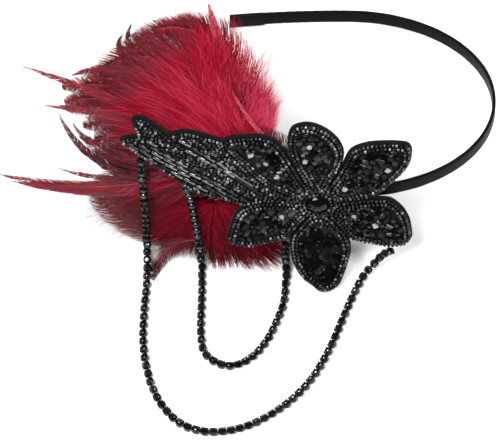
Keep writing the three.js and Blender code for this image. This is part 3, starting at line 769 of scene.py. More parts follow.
def chip_template(rng):
    """An irregular cut chip: steep sides, bevels and a broad tilted table."""
    sides = int(rng.integers(4, 7))
    turn = (np.arange(sides) + rng.uniform(-0.25, 0.25, sides)) * 2 * math.pi / sides
    reach = rng.uniform(0.85, 1.15, sides)
    around = np.stack([np.cos(turn), np.sin(turn)], 1) * reach[:, None]
    drift = rng.uniform(-0.06, 0.06, 2)
    foot = at_height(around * 0.85, -0.45)
    girdle = np.column_stack([around, rng.uniform(0.10, 0.25, sides)])
    table = at_height(around * rng.uniform(0.66, 0.82) + drift, 0.55)
    table[:, 2] += table[:, 0] * rng.uniform(-0.2, 0.2) + table[:, 1] * rng.uniform(-0.2, 0.2)
    return rings_body([foot, girdle, table])


def surface_frames(directions, ups):
    """Frames whose first axis follows a direction and whose third points up from the surface."""
    ups = unit(ups - directions * (ups * directions).sum(1, keepdims=True))
    return np.stack([directions, np.cross(ups, directions), ups], 1)


def carried(flat, bend, *directions):
    """Places on the felt and directions there, as the petal's bend carries them."""
    if not bend:
        return [flat, *directions]
    centre = bend(flat)
    return [centre] + [bend(flat + d) - centre for d in directions]


def lay_beads(places, directions, height, rng, laid, bend=None, loose=0.12):
    """Seed beads threaded along a row, lying on the felt. Loose ones lie every way."""
    count = len(places)
    if not count:
        return []
    jitter = rng.normal(0, BEAD_JITTER, (count, 2))
    flat = np.column_stack([places + jitter, height + rng.normal(0, BEAD_JITTER, count)])
    laid.append(flat[:, :2])
    ahead = np.column_stack([directions + rng.normal(0, loose, (count, 2)),
                             rng.normal(0, loose * 0.8, count)])
    centre, ahead, up = carried(flat, bend, unit(ahead), UP)
    frames = surface_frames(unit(ahead), up) @ SIDE_AXES
    sizes = SEED_RADIUS * rng.uniform(0.90, 1.07, count)
    tones = rng.uniform(0, 1, count) ** SEED_TONE_POWER
    return [stamp(bead_template(), to_world(centre), frames, sizes, tones, 0)]


# Where the chips of each petal begin, from the flower's middle, and where its brightest ones are, a
# painted glint
ChipField = namedtuple("ChipField", "near bright")
CHIP_FIELDS = {
    "petal_1": ChipField(15.5, [(10.9, 5.0), (31.1, 18.7)]),
    "petal_2": ChipField(18.0, [(-5.6, 32.4), (-8.1, 24.3)]),
    "petal_3": ChipField(14.5, [(-36.2, 25.2), (-20.8, 16.9), (-23.4, 12.1), (-28.0, 21.5)]),
    "petal_4": ChipField(13.5, [(-20.0, -11.4)]),
    "petal_5": ChipField(12.5, []),
    "petal_6": ChipField(15.5, [(14.8, -14.1), (25.7, -19.5)]),
}


GREY_CHIPS = 0.24       # share of them
CHIP_EDGE = 4.9         # room that the chips leave to the petal's rows of beads
CHIP_LEVEL = 1.0
CHIP_TILT = 0.26
# Size of the chips painted as glints, as a share
PAINTED_GLINT_CHIP_SIZE = 0.8


def chip_tones(places, bright, rng):
    """Mostly near-black chips, some grey, and a few painted as glints: a light dye for facets that
    catch the light.
    """
    count = len(places)
    tones = rng.uniform(0, 0.06, count)
    grey = rng.random(count) < GREY_CHIPS
    tones[grey] = rng.uniform(0.10, 0.38, grey.sum())
    # Painted glints: the chips nearest the listed spots get the light dye
    for spot in bright:
        tones[np.argmin(np.linalg.norm(places - np.array(spot), axis=1))] = 1.0
    return tones


def chip_places(outline, near, rng):
    """Places in brick order over a petal's middle, a little uneven."""
    low, high = outline.min(0), outline.max(0)
    xs = np.arange(low[0], high[0], CHIP_PITCH)
    ys = np.arange(low[1], high[1], CHIP_PITCH * 0.87)
    grid = np.array([(x + (j % 2) * CHIP_PITCH / 2, y) for j, y in enumerate(ys) for x in xs])
    grid += rng.normal(0, 0.3, grid.shape)
    keep = inside(grid, outline) & (clearance(grid, outline) > CHIP_EDGE)
    return grid[keep & (np.linalg.norm(grid - FLOWER_MIDDLE, axis=1) > near)]


def lay_chips(name, outline, bend, rng, templates, laid):
    """Chips scattered over a petal's middle, tilted every way, a few of them bright as painted glints.
    """
    field = CHIP_FIELDS[name]
    places = chip_places(outline, field.near, rng)
    laid.append(places)
    count = len(places)
    flat = np.column_stack([places, BEAD_BACK + CHIP_LEVEL + rng.normal(0, 0.28, count)])
    centre, up = carried(flat, bend, UP)
    up = unit(up + rng.normal(0, CHIP_TILT, (count, 3)) * [1, 1, 0.2])
    turn = rng.uniform(0, 2 * math.pi, count)
    ahead = np.stack([np.cos(turn), np.sin(turn), np.zeros(count)], 1)
    ahead = unit(ahead - up * (ahead * up).sum(1, keepdims=True))
    frames = surface_frames(ahead, up) @ SIDE_AXES
    sizes = rng.uniform(1.6, 2.3, (count, 1)) * np.array([[1.1, 0.9, 1.0]])
    tones = chip_tones(places, field.bright, rng)
    sizes[tones > 0.9] *= PAINTED_GLINT_CHIP_SIZE
    kinds = rng.integers(0, len(templates), count)
    parts = []
    for kind, template in enumerate(templates):
        pick = kinds == kind
        if pick.any():
            parts.append(stamp(template, to_world(centre[pick]), frames[pick], sizes[pick], tones[pick],
                               1, False))
    return parts


CUSHION_MARGIN = 0.9
CUSHION_EDGE = 0.25
PETAL_RISE = 0.9


def bead_cushion(outline, bend, rise):
    """A low domed pad that fills what shows between the beads."""
    inner = outline + inward(outline) * CUSHION_MARGIN
    middle = inner.mean(0)
    rings = [at_height(inner, BEAD_BACK)]
    for share in (1.0, 0.8, 0.55, 0.3, 0.08):
        height = BEAD_BACK + CUSHION_EDGE + rise * (1 - share**2)
        rings.append(at_height(middle + (inner - middle) * share, height))
    points, faces = rings_body(rings)
    points = bend(points) if bend else points
    return part(to_world(points), faces, 2, 0.3)


# Rows of seed beads: how far each lies inside the petal's edge, and its height
PETAL_ROWS = ((1.0, 0.95), (2.95, 1.45), (4.9, 1.25), (6.8, 1.15))
FULL_ROWS = 2           # of them. The others run round the root only
# Painted shade: how far the beads, cushion and dark chips of a petal are darkened, their gloss with
# them, to stand for less light on them
PETAL_PAINTED_SHADE = {"petal_1": 0.75, "petal_5": 0.65, "petal_6": 0.4}


def make_petal(name, outline, rng, templates, laid):
    """A petal: a cushion, two raised rows of seed beads round it, more near the root, and chips."""
    bend = folded if name == BENT_PETAL else None
    parts = [bead_cushion(outline, bend, PETAL_RISE)]
    for row, (distance, height) in enumerate(PETAL_ROWS):
        places, directions = inset_row(outline, distance, SEED_PITCH)
        if row >= FULL_ROWS and len(places):
            near = np.linalg.norm(places - FLOWER_MIDDLE, axis=1) < CHIP_FIELDS[name].near + 5 - row
            places, directions = places[near], directions[near]
        parts += lay_beads(places, directions, BEAD_BACK + height, rng, laid, bend)
    parts += lay_chips(name, outline, bend, rng, templates, laid)
    # Painted shade: the petal's tones are darkened, all but its painted glints
    shade = PETAL_PAINTED_SHADE.get(name, 1.0)
    parts = [p._replace(tone=np.where(p.tone < 0.95, p.tone * shade, p.tone)) for p in parts]
    build_piece(f"beaded_{name}", parts, [LOOKS["seed"], LOOKS["chip"], LOOKS["felt"]],
                [name])


def loose_places(candidates, laid, gap, rng):
    """The candidates that keep a gap from the laid beads and from each other."""
    kept = []
    for place in candidates[rng.permutation(len(candidates))]:
        if np.linalg.norm(laid - place, axis=1).min() < gap:
            continue
        if kept and np.linalg.norm(np.array(kept) - place, axis=1).min() < gap:
            continue
        kept.append(place)
    return np.array(kept).reshape(-1, 2)


def grid_places(low, high, pitch, rng):
    """A square grid of places, each moved a little."""
    xs, ys = np.arange(low[0], high[0], pitch), np.arange(low[1], high[1], pitch)
    grid = np.stack(np.meshgrid(xs, ys, indexing="ij"), -1).reshape(-1, 2)
    return grid + rng.uniform(-0.3, 0.3, grid.shape) * pitch


def lay_loose(places, height, rng, laid):
    """Seed beads that lie every way."""
    angle = rng.uniform(0, math.pi, len(places))
    return lay_beads(places, np.stack([np.cos(angle), np.sin(angle)], 1), height, rng, laid, loose=0.5)


def cut_stone(radius, height, sides, table, girdle):
    """A round stone of three rows of facets under a flat table."""
    crown = height - girdle
    rows = ((0.86, 0.0, 0), (1.0, girdle, 0), (0.86, girdle + crown * 0.45, 0.5),
            ((table + 0.86) / 2, girdle + crown * 0.8, 1), (table, height, 1.5))
    rings = []
    for reach, level, twist in rows:
        turn = (np.arange(sides) + twist) * 2 * math.pi / sides
        rings.append(at_height(np.stack([np.cos(turn), np.sin(turn)], 1) * reach * radius, level))
    points, (quads, ends) = rings_body(rings)
    triangles = [t for a, b, c, d in quads for t in ((a, b, d), (b, c, d))]
    return points, [triangles, ends]


CENTRE_RINGS = ((6.7, 1.2, 20), (8.6, 0.9, 26))     # radius, height and number of beads
CENTRE_CUSHION = 8.3    # its radius
# Loose beads fill the gaps between the petals from ring to reach, this far apart
GAP_RING, GAP_REACH = 7, 25.0
LOOSE_GAP = 1.55
LOOSE_GRID = 0.8
CENTRE_PAINTED_SHADE = 0.5      # painted shade: the centre's beads lie lower than the petals', and all of the centre is darkened, gloss too, as if in shade


def make_centre(outlines, rng, laid):
    """The flower's middle: a large cut stone ringed by seed beads, and beads in the gaps round it."""
    stone = cut_stone(STONE_RADIUS * 0.92, STONE_HEIGHT * 0.9, 10, 0.2, 1.0)
    foot = to_world([[*FLOWER_MIDDLE, BEAD_BACK + 0.2]])
    parts = [stamp(stone, foot, SIDE_AXES[None], 1.0, 0.25, 1, False)]
    for radius, height, count in CENTRE_RINGS:
        spokes = circle(count)
        directions = np.stack([-spokes[:, 1], spokes[:, 0]], 1)
        parts += lay_beads(FLOWER_MIDDLE + radius * spokes, directions, BEAD_BACK + height, rng, laid)
    parts.append(bead_cushion(circle(28, CENTRE_CUSHION, FLOWER_MIDDLE), None, 0.3))
    gaps = grid_places(FLOWER_MIDDLE - GAP_REACH, FLOWER_MIDDLE + GAP_REACH, LOOSE_GRID, rng)
    distance = np.linalg.norm(gaps - FLOWER_MIDDLE, axis=1)
    gaps = gaps[(distance < GAP_REACH) & (distance > GAP_RING)]
    covered = np.zeros(len(gaps), bool)
    for outline in (*outlines.values(), bridge_outline()):
        covered |= inside(gaps, outline) | (clearance(gaps, outline) < 0.2)
    gaps = loose_places(gaps[covered], np.concatenate(laid), LOOSE_GAP, rng)
    parts += lay_loose(gaps, BEAD_BACK + 1.0, rng, laid)
    # Painted shade over all of the centre, its gloss too
    parts = [p._replace(tone=p.tone * CENTRE_PAINTED_SHADE) for p in parts]
    build_piece("centre_cluster", parts, [LOOKS["seed"], LOOKS["onyx"], LOOKS["felt"]],
                ["center_stone"])


LEAF_SEED_HEIGHT = 0.95
TUBE_RADIUS = 0.5
BUGLE_GAP = 0.75
# Rows on the leaf: kind, then start and end as shares of its length and width
LeafRow = namedtuple("LeafRow", "kind along across to_along to_across")
LEAF_ROWS = [LeafRow(*row) for row in (
    ("bugle", 0.566, -0.666, 0.319, -0.596), ("bugle", 0.640, -0.575, 0.277, -0.512),
    ("seed", 0.740, -0.505, 0.560, -0.480), ("seed", 0.700, -0.465, 0.060, -0.370),
    ("seed", 0.700, -0.410, 0.030, -0.300), ("seed", 0.640, -0.345, -0.060, -0.235),
    ("bugle", 0.840, -0.405, 0.690, -0.360), ("bugle", 0.835, -0.330, 0.080, -0.170),
    ("bugle", 0.860, -0.255, 0.150, -0.110), ("bugle", 0.880, -0.180, 0.190, -0.045),
    ("bugle", 0.865, -0.105, 0.270, 0.020), ("tube", 0.314, -0.574, 0.050, -0.470),
    ("tube", 0.270, -0.520, 0.010, -0.430), ("tube", 0.225, -0.462, -0.040, -0.390),
)]


def leaf_point(along, across):
    """A point of the leaf, from shares of its length and width."""
    a, c = along * LEAF_LENGTH, across * LEAF_WIDTH
    cos, sin = math.cos(LEAF_ANGLE), math.sin(LEAF_ANGLE)
    return LEAF_BASE + np.array([a * cos - c * sin, a * sin + c * cos])


def seed_places(start, ahead, run, odd, outline):
    """Places of a row of seed beads that fit on the leaf. Odd rows are shifted by half a bead."""
    steps = np.arange(int(run / SEED_PITCH)) + 0.5 * (1 + odd)
    line = start + ahead * steps[:, None] * SEED_PITCH
    return line[inside(line, outline) & (clearance(line, outline) > 1.9)]


def tube_middles(start, ahead, length, at, outline):
    """Middles of the tubes at the given runs whose two ends lie on the leaf."""
    middles = start + ahead * at[:, None]
    ends = [middles - ahead * length / 2, middles + ahead * length / 2]
    return middles[np.all([inside(e, outline) & (clearance(e, outline) > 1.5) for e in ends], axis=0)]


def make_leaf(outline, rng, laid):
    """The leaf: a border of seed beads, brick rows of bugles and a strip of seeds between."""
    parts = [leaf_floor(outline)]
    places, directions = inset_row(outline, 1.0, SEED_PITCH)
    parts += lay_beads(places, directions, BEAD_BACK + LEAF_SEED_HEIGHT, rng, laid)
    taken = [places]
    for number, row in enumerate(LEAF_ROWS):
        odd = number % 2
        start, end = leaf_point(row.along, row.across), leaf_point(row.to_along, row.to_across)
        run = np.linalg.norm(end - start)
        ahead = (end - start) / run
        if row.kind == "seed":
            places = seed_places(start, ahead, run, odd, outline)
            scattered = places + rng.normal(0, 0.12, places.shape)
            parts += lay_loose(scattered, BEAD_BACK + LEAF_SEED_HEIGHT, rng, laid)
            taken.append(places)
            continue
        if row.kind == "bugle":
            length = BUGLE_LENGTH
            step = length + BUGLE_GAP
            at = np.arange(odd * 0.5 * step - step, run, step) + length / 2
        else:
            length = run / 1.02
            at = np.array([run / 2])
        middles = tube_middles(start, ahead, length, at, outline)
        parts += lay_tubes(middles, ahead, length, row.kind, rng)
        taken += [middles + ahead * length * share for share in np.linspace(-0.5, 0.5, 9)]
    parts += fill_leaf(outline, np.concatenate(taken), rng, laid)
    laid += taken
    build_piece("beaded_leaf", parts, [LOOKS["seed"], LOOKS["bugle"], LOOKS["felt"]],
                ["leaf_spray"])


def lay_tubes(middles, ahead, length, kind, rng):
    """Bugles of a row, or one long tube, lying on the leaf."""
    count = len(middles)
    wobble = rng.normal(0, 0.035, (count, 2))
    directions = unit(np.column_stack([ahead + wobble, rng.normal(0, 0.05, count)]))
    frames = surface_frames(directions, UP) @ SIDE_AXES
    radius = BUGLE_RADIUS if kind == "bugle" else TUBE_RADIUS
    lengths = length * (rng.uniform(0.93, 1.03, count) if kind == "bugle" else np.ones(count))
    sizes = np.column_stack([lengths, np.full(count, radius), np.full(count, radius)])
    centre = np.column_stack([middles, BEAD_BACK + 0.35 + radius + rng.normal(0, 0.08, count)])
    tones = rng.uniform(0, 1, count) ** BUGLE_TONE_POWER
    return [stamp(bugle_template(), to_world(centre), frames, sizes, tones, 1)]


def leaf_floor(outline):
    """A thin black underlay under the leaf's beads."""
    inner = outline + inward(outline) * 0.7
    points, faces, _ = plate_parts([inner[::3]], BEAD_BACK, BEAD_BACK + 0.35, 0.1)
    return part(to_world(points), faces, 2, 0.3, False)


def fill_leaf(outline, taken, rng, laid):
    """Seed beads packed where the leaf's rows leave room."""
    grid = grid_places(outline.min(0), outline.max(0), LOOSE_GRID, rng)
    grid = grid[inside(grid, outline) & (clearance(grid, outline) > 1.8)]
    places = loose_places(grid, taken, 1.6, rng)
    return lay_loose(places, BEAD_BACK + LEAF_SEED_HEIGHT, rng, laid)


# Chains

# The points of each route between the strand's two ends, from the table under the flower's middle
LYING_HEIGHT = 0.8


def lying(*places):
    """Points of a route that lie on the table."""
    return [(x, y, LYING_HEIGHT) for x, y in places]


OUTER_ROUTE = [
    (-87.1, 1.8, 51), (-86.6, -3.3, 33), (-86.4, -5.5, 17.5), (-86.2, -8.2, 8), (-85.9, -12.5, 3),
    (-85.7, -18.5, 1.1),
    *lying((-85.9, -27.8), (-86.9, -41.3), (-87.2, -59.2), (-85.1, -74.4), (-79.6, -89.7),
           (-70.2, -101.0), (-59.7, -105.9), (-46.8, -106.2), (-33.2, -102.2), (-17.4, -92.2),
           (-4.9, -79.0), (4.1, -63.2), (10.8, -46.9)),
    (17.3, -31.5, 0.9), (21.5, -23.2, 2.2), (26.2, -17.7, 6), (30.6, -15.2, 11),
]
INNER_ROUTE = [
    (-64.5, -1.1, 48), (-62.7, -5.1, 38), (-61.2, -8.9, 25), (-60.1, -11.9, 12.5), (-59.3, -15.3, 5.6),
    (-58.8, -19.7, 2),
    *lying((-58.4, -25.1), (-58.6, -38.6), (-58.8, -54.1), (-57.0, -64.8), (-50.8, -70.1),
           (-42.2, -71.4), (-33.2, -66.4), (-26.4, -57.9), (-21.5, -47.7), (-18.0, -37.5)),
    (-17.0, -27.0, 0.9), (-17.2, -20.5, 2.6), (-17.3, -16.6, 7), (-17.4, -14.8, 13),
]
CUP_RADIUS = 1.85
CUP_BELOW = 0.6         # of the cup, under the middle of the wire
CUP_RIM = 1.4           # of the cup, over it
CUP_SCALE = 1.12
CUP_LIFT = 0.05         # between the lowest point of a cup and the table
SEAT_DEPTH = 0.28       # of the stone, below the rim
LINK_OVERLAP = 0.6      # of a wire, into both of its cups
# Where the stones face on the table and where the strand hangs, and how soon they turn
LYING_FACE = np.array([-0.55, 0.7, 1.0])
HANGING_FACE = np.array([0.0, -1.0, 0.35])
TURN_RATE = 1.6
# A claw from the rim over the stone's edge: reach, height over the rim, half-width and thickness
PRONG = ((1.86, -1.0, 0.34, 0.10), (1.90, -0.1, 0.32, 0.12), (1.72, 0.28, 0.28, 0.12),
         (1.36, 0.40, 0.20, 0.10))


def petal_point(angle, at, aside):
    """A point of a petal, along its middle line and to the side of it."""
    turn = math.radians(angle)
    ahead = np.array([math.cos(turn), math.sin(turn)])
    return FLOWER_MIDDLE + at * ahead + aside * np.array([-ahead[1], ahead[0]])


def cup_template():
    """A round cup with a rolled lip, open towards the stone."""
    low, rim = -CUP_BELOW, CUP_RIM
    profile = [(low, 0.05), (low, 1.55), (low + 0.2, 1.75), (rim - 0.35, 1.80), (rim - 0.12, 1.86),
               (rim, 1.74), (rim - 0.05, 1.55), (rim - 0.3, 1.5), (rim - 0.3, 0.05)]
    return lathe(profile, 14, along=2)


def prong_template():
    """One bent claw."""
    rings = []
    for x, over, w, t in PRONG:
        z = CUP_RIM + over
        rings.append([(x - t, -w, z), (x + t, -w, z + t), (x + t, w, z + t), (x - t, w, z)])
    return rings_body(rings, flip=True)


def link_template():
    """The wire between two cups, one unit long."""
    return lathe([(-0.5, 0.02), (-0.5, 0.34), (0.5, 0.34), (0.5, 0.02)], 6)


def chain_places(start, route, end, rng):
    """The middles of a chain's cups, and their frames: along, across and out of the stone."""
    ends = [to_world([*p, BEAD_BACK]) for p in (start, end)]
    line = centripetal(np.vstack([ends[0], np.array(route) + TABLE_ORIGIN, ends[1]]), 60)
    places, ahead = spaced(line, pitch=CHAIN_PITCH)
    raised = np.minimum(1, abs(ahead[:, 2]) * TURN_RATE)[:, None]
    face = (1 - raised) * LYING_FACE + raised * HANGING_FACE
    frames = surface_frames(ahead, unit(face + rng.normal(0, 0.10, (len(places), 3))))
    level = frames[:, 2, 2]
    lowest = CUP_SCALE * (CUP_BELOW * level + CUP_RADIUS * np.sqrt(1 - level**2))
    places[:, 2] = np.maximum(places[:, 2], lowest + CUP_LIFT)
    return places, frames


def make_chain(name, node_name, start, route, end, rng):
    """A strand of cups and faceted stones along the route, joined by short wires."""
    places, frames = chain_places(start, route, end, rng)
    count = len(places)
    metal, glass = rng.uniform(0.1, 0.9, count), rng.uniform(0, 0.5, count) ** 1.5
    parts = [stamp(cup_template(), places, frames, CUP_SCALE, metal, 0)]
    for k in range(4):
        turn = (k + 0.5) * math.pi / 2
        cos, sin = math.cos(turn), math.sin(turn)
        spin = np.array([[cos, sin, 0], [-sin, cos, 0], [0, 0, 1]])
        parts.append(stamp(prong_template(), places, spin @ frames, CUP_SCALE, metal, 0, False))
    stone = cut_stone(1.5, 1.05, 8, 0.55, 0.25)
    seat = places + frames[:, 2] * (CUP_RIM - SEAT_DEPTH) * CUP_SCALE
    parts.append(stamp(stone, seat, frames, CUP_SCALE, glass, 1, False))
    gaps = places[1:] - places[:-1]
    length = np.linalg.norm(gaps, axis=1) - 2 * CUP_RADIUS * CUP_SCALE + LINK_OVERLAP
    link_frames = surface_frames(unit(gaps), frames[:-1, 2])
    sizes = np.column_stack([length, np.ones(count - 1), np.ones(count - 1)])
    parts.append(stamp(link_template(), (places[1:] + places[:-1]) / 2, link_frames, sizes, 0.3, 0))
    build_piece(name, parts, [LOOKS["cup"], LOOKS["jet"]], [node_name])


# Feathers

def beside(directions):
    """Unit vectors across the directions, in the felt's plane."""
    return unit(np.cross(UP, directions))


def per_strand(value, count):
    """The value as an array, one for each strand."""
    return np.broadcast_to(np.asarray(value, float), (count,))


def strand_faces(count, steps):
    """Faces of three-sided strands that end in a point."""
    size = steps * 3 + 1
    last = size - 4
    quads = [(r * 3 + k, r * 3 + (k + 1) % 3, (r + 1) * 3 + (k + 1) % 3, (r + 1) * 3 + k)
             for r in range(steps - 1) for k in range(3)]
    ends = [(last + k, last + (k + 1) % 3, size - 1) for k in range(3)] + [(2, 1, 0)]
    offsets = (np.arange(count) * size)[:, None, None]
    return [(np.array(f)[None] + offsets).reshape(-1, len(f[0])) for f in (quads, ends)]


def strands(base, heading, turned, length, width, steps, rng, tone_from, tone_to, wave=0.04,
            flatness=0.45):
    """Tapered closed strands: each leaves its base along heading and curves towards turned."""
    count = len(base)
    s = np.linspace(0, 1, steps + 1)[None, :, None]
    length, width = (per_strand(v, count)[:, None, None] for v in (length, width))
    path = heading[:, None] * s + (turned - heading)[:, None] * s**2 / 2
    across = unit(np.cross(UP, heading) + 1e-6)
    up = np.cross(heading, across)
    phase = rng.uniform(0, 2 * math.pi, (count, 1, 1))
    path = path + across[:, None] * wave * np.sin(5.5 * s + phase) * s
    path = path + up[:, None] * wave * np.cos(4.3 * s + 2 * phase) * s
    points = base[:, None] + path * length
    taper = (1 - s[:, :-1]) ** 0.6
    ring = []
    for turn in (0.5, 2.6, 4.7):
        side = across[:, None] * math.cos(turn) + flatness * up[:, None] * math.sin(turn)
        ring.append(points[:, :-1] + taper * width * side)
    body = np.concatenate([np.stack(ring, 2).reshape(count, -1, 3), points[:, -1:]], 1)
    first, final = (per_strand(v, count)[:, None] for v in (tone_from, tone_to))
    tone = np.clip(first + (final - first) * s[0, :, 0], 0, 1)
    tones = np.concatenate([np.repeat(tone[:, :-1], 3, axis=1), tone[:, -1:]], 1)
    return part(body, strand_faces(count, steps), 0, tones.ravel())


def polar(centre, angle, reach):
    """Points at angles (radians) and distances round a centre, in the side frame's plane."""
    return np.stack([centre[0] + reach * np.cos(angle), centre[1] + reach * np.sin(angle)], -1)


# Hackles that show as feathers: degrees and reach round the quill head of a point half-way and of
# the tip, half-width, depth of the tip, tones at the quill and at the edge, and barbs on each side
Hackle = namedtuple("Hackle", "through_angle through tip_angle reach half depth middle edge barbs")
HACKLES = [Hackle(*row) for row in (
    (100, 52, 100.5, 103, 3.8, -8, 0.78, 0.80, 110), (101, 58, 110, 93, 7, -11, 0.60, 0.56, 150),
    (97, 69, 113, 93, 12, -11, 0.54, 0.42, 190), (102, 71, 119, 94, 12, -10, 0.48, 0.34, 190),
    (108, 71, 126, 93, 13, -11, 0.42, 0.30, 190), (114, 71, 133, 91, 13, -10, 0.40, 0.28, 190),
    (121, 71, 141, 91, 13, -9, 0.36, 0.26, 190), (131, 69, 147, 101, 5, -8, 0.30, 0.20, 130),
    (129, 65, 149, 92, 12, -10, 0.42, 0.30, 180), (139, 62, 153, 100, 10, -10, 0.42, 0.30, 180),
    (145, 60, 157, 96, 9, -9, 0.40, 0.30, 160), (149, 60, 161, 93, 12, -11, 0.42, 0.30, 170),
    (157, 51, 167, 82, 10, -12, 0.40, 0.28, 160), (165, 48, 172, 75, 10, -11, 0.38, 0.28, 160),
    (172, 44, 179, 68, 11, -12, 0.36, 0.26, 150), (179, 44, 188, 66, 11, -11, 0.36, 0.26, 150),
    (188, 48, 198, 75, 12, -10, 0.34, 0.26, 150), (118, 54, 134, 86, 15, -13, 0.26, 0.20, 140),
    (136, 54, 153, 88, 15, -13, 0.26, 0.20, 140),
)]
SLIM_HACKLES = [Hackle(*row) for row in (
    (147, 66, 150, 125, 3.2, -7, 0.44, 0.36, 100), (153, 62, 159, 105, 3.4, -6, 0.42, 0.34, 80),
    (131, 73, 122, 103, 2.4, -9, 0.16, 0.08, 80), (134, 74, 126, 100, 2.1, -9, 0.16, 0.08, 70),
    (184, 60, 160, 97, 3.2, -6, 0.16, 0.10, 110), (180, 54, 162, 89, 4.0, -5, 0.22, 0.12, 110),
    (178, 46, 166, 81, 3.6, -5, 0.26, 0.14, 90), (187, 52, 172, 79, 3.0, -4, 0.14, 0.08, 80),
    (195, 61, 184, 122, 4.6, -7, 0.50, 0.44, 170), (196, 57, 187, 110, 5.4, -6, 0.46, 0.38, 150),
    (196, 60, 186, 116, 4.4, -6, 0.40, 0.32, 130), (193, 54, 188, 99, 5.4, -5, 0.40, 0.32, 130),
    (189, 52, 181, 92, 2.8, -4, 0.24, 0.16, 80),
)]
# Feathers that lie bowed, most of them at the lower left: root, middle and tip in the side frame's
# plane, then half-width, depth, tones and barbs
Bowed = namedtuple("Bowed", "root through tip half depth middle edge barbs")
BOWED_FEATHERS = [Bowed(*row) for row in (
    ((-50, -42), (-88, -35.5), (-113, -7), 8.5, -10, 0.36, 0.30, 190),
    ((-48, -34), (-84, -27.0), (-111, -3), 10, -9, 0.32, 0.24, 190),
    ((-46, -24), (-80, -17.0), (-107, -2), 9, -8, 0.36, 0.26, 170),
    ((-58, -36), (-75.5, -42.0), (-83, -64.5), 6.0, -3.5, 0.24, 0.12, 130),
    ((0, 16), (-17, 27.0), (-31, 42.0), 7.0, -1.2, 0.34, 0.24, 130),
    ((-20, -9), (-55, -8), (-98, -1.0), 9.0, -9, 0.26, 0.20, 150),
    ((-16, 24), (-31, 40.0), (-43.6, 66.0), 1.1, -0.6, 0.95, 0.9, 50),
)]


# A feather in space. Its barbs begin at the start, a share of its length
Feather = namedtuple("Feather", "root through tip half middle edge barbs start")
HEAD_DEPTH = -8.5
WIDE = 6                # half-width over which a feather has a rounded tip
QUILL_STEPS = 17
BARB_LIFT = UP * 0.10


def hackle(row):
    """The feather of a row of the hackle tables."""
    through = polar(QUILL_HEAD, math.radians(row.through_angle), row.through)
    tip = polar(QUILL_HEAD, math.radians(row.tip_angle), row.reach)
    return Feather(np.array([*QUILL_HEAD, HEAD_DEPTH]), np.array([*through, row.depth + 0.5]),
                   np.array([*tip, row.depth]), row.half, row.middle, row.edge, row.barbs, 0.2)


def bowed(row):
    """The feather of a row of the bowed feathers."""
    places = (np.array([*p, row.depth]) for p in (row.root, row.through, row.tip))
    return Feather(*places, row.half, row.middle, row.edge, row.barbs, 0.1)


def spine_points(feather, t):
    """Points on a feather's bent spine, which passes its middle point half-way."""
    bend = 2 * feather.through - (feather.root + feather.tip) / 2
    t = t[:, None]
    return (1 - t) ** 2 * feather.root + 2 * t * (1 - t) * bend + t**2 * feather.tip


def vane_width(t, half):
    """Half-width of the vane along the spine: full beyond the middle, then closed to the tip."""
    rise = 0.4 + 0.6 * np.clip(t / 0.4, 0, 1) ** 0.8
    if half > WIDE:
        fall = np.sqrt(np.clip(1 - np.clip((t - 0.55) / 0.455, 0, 1) ** 3, 0, 1))
    else:
        fall = np.clip(1 - np.clip((t - 0.45) / 0.56, 0, 1) ** 2.4, 0, 1) ** 0.9
    return half * rise * fall


def quill(feather):
    """The tapered five-sided quill of a feather."""
    t = np.linspace(0, 1, QUILL_STEPS)
    line = spine_points(feather, t)
    ahead = unit(np.gradient(line, axis=0))
    sideways = beside(ahead)
    up = np.cross(ahead, sideways)
    radius = min(0.40, 0.14 + feather.half * 0.025) * (1 - t * 0.93)
    x, y = circle(5).T[:, None, :, None]
    points, faces = rings_body(line[:, None] + radius[:, None, None] * (x * sideways[:, None]
                                                                        + y * up[:, None]))
    return part(points, faces, 1, np.repeat(feather.middle + 0.25 * t, 5))


def barb_row(feather, hand, rng):
    """The barbs on one side of a feather, from the quill to the outline of the vane."""
    half, barbs, start = feather.half, feather.barbs, feather.start
    run = np.linalg.norm(feather.tip - feather.root)
    even = (np.arange(barbs) + rng.random(barbs)) / barbs
    at = start + (1 - start) * even ** (0.75 if half > WIDE else 1)
    base = spine_points(feather, at)
    splits = np.cumsum(rng.random(barbs) < 0.04) % 3 - 1
    ahead = (0.10 + 1.25 * half / run) * (1 - 0.35 * at) + splits * 0.012 + rng.normal(0, 0.006, barbs)
    end = np.minimum(at + ahead * (1 - at**3), 1.004)
    along = unit(spine_points(feather, end + 0.01) - spine_points(feather, end - 0.01))
    wide = vane_width(end, half) * (1 + splits * 0.05 + rng.normal(0, 0.03, barbs)) + 0.12
    edge = spine_points(feather, end) + beside(along) * hand * wide[:, None]
    target = edge + rng.normal(0, 0.12, (barbs, 3)) + UP * -0.03 * half
    chord = target - base
    length = np.linalg.norm(chord, axis=1)
    chord /= length[:, None]
    curl = beside(chord) * hand * (0.26 + rng.normal(0, 0.04, barbs))[:, None]
    heading, turned = unit(chord + curl + BARB_LIFT), unit(chord - curl - BARB_LIFT)
    width = np.clip(run * (1 - start) / barbs * 0.55, 0.16, 0.40) * rng.uniform(0.85, 1.2, barbs)
    streak = 0.07 * np.sin(at * rng.uniform(24, 60) + rng.uniform(0, 6)) + rng.normal(0, 0.09, barbs)
    return strands(base, heading, turned, length, width, 3, rng, feather.middle + streak,
                   feather.edge + streak, 0.012, 0.25)


def vane(feather, rng):
    """One feather: a tapered quill and a close, flat vane of barbs."""
    return [quill(feather)] + [barb_row(feather, hand, rng) for hand in (-1, 1)]


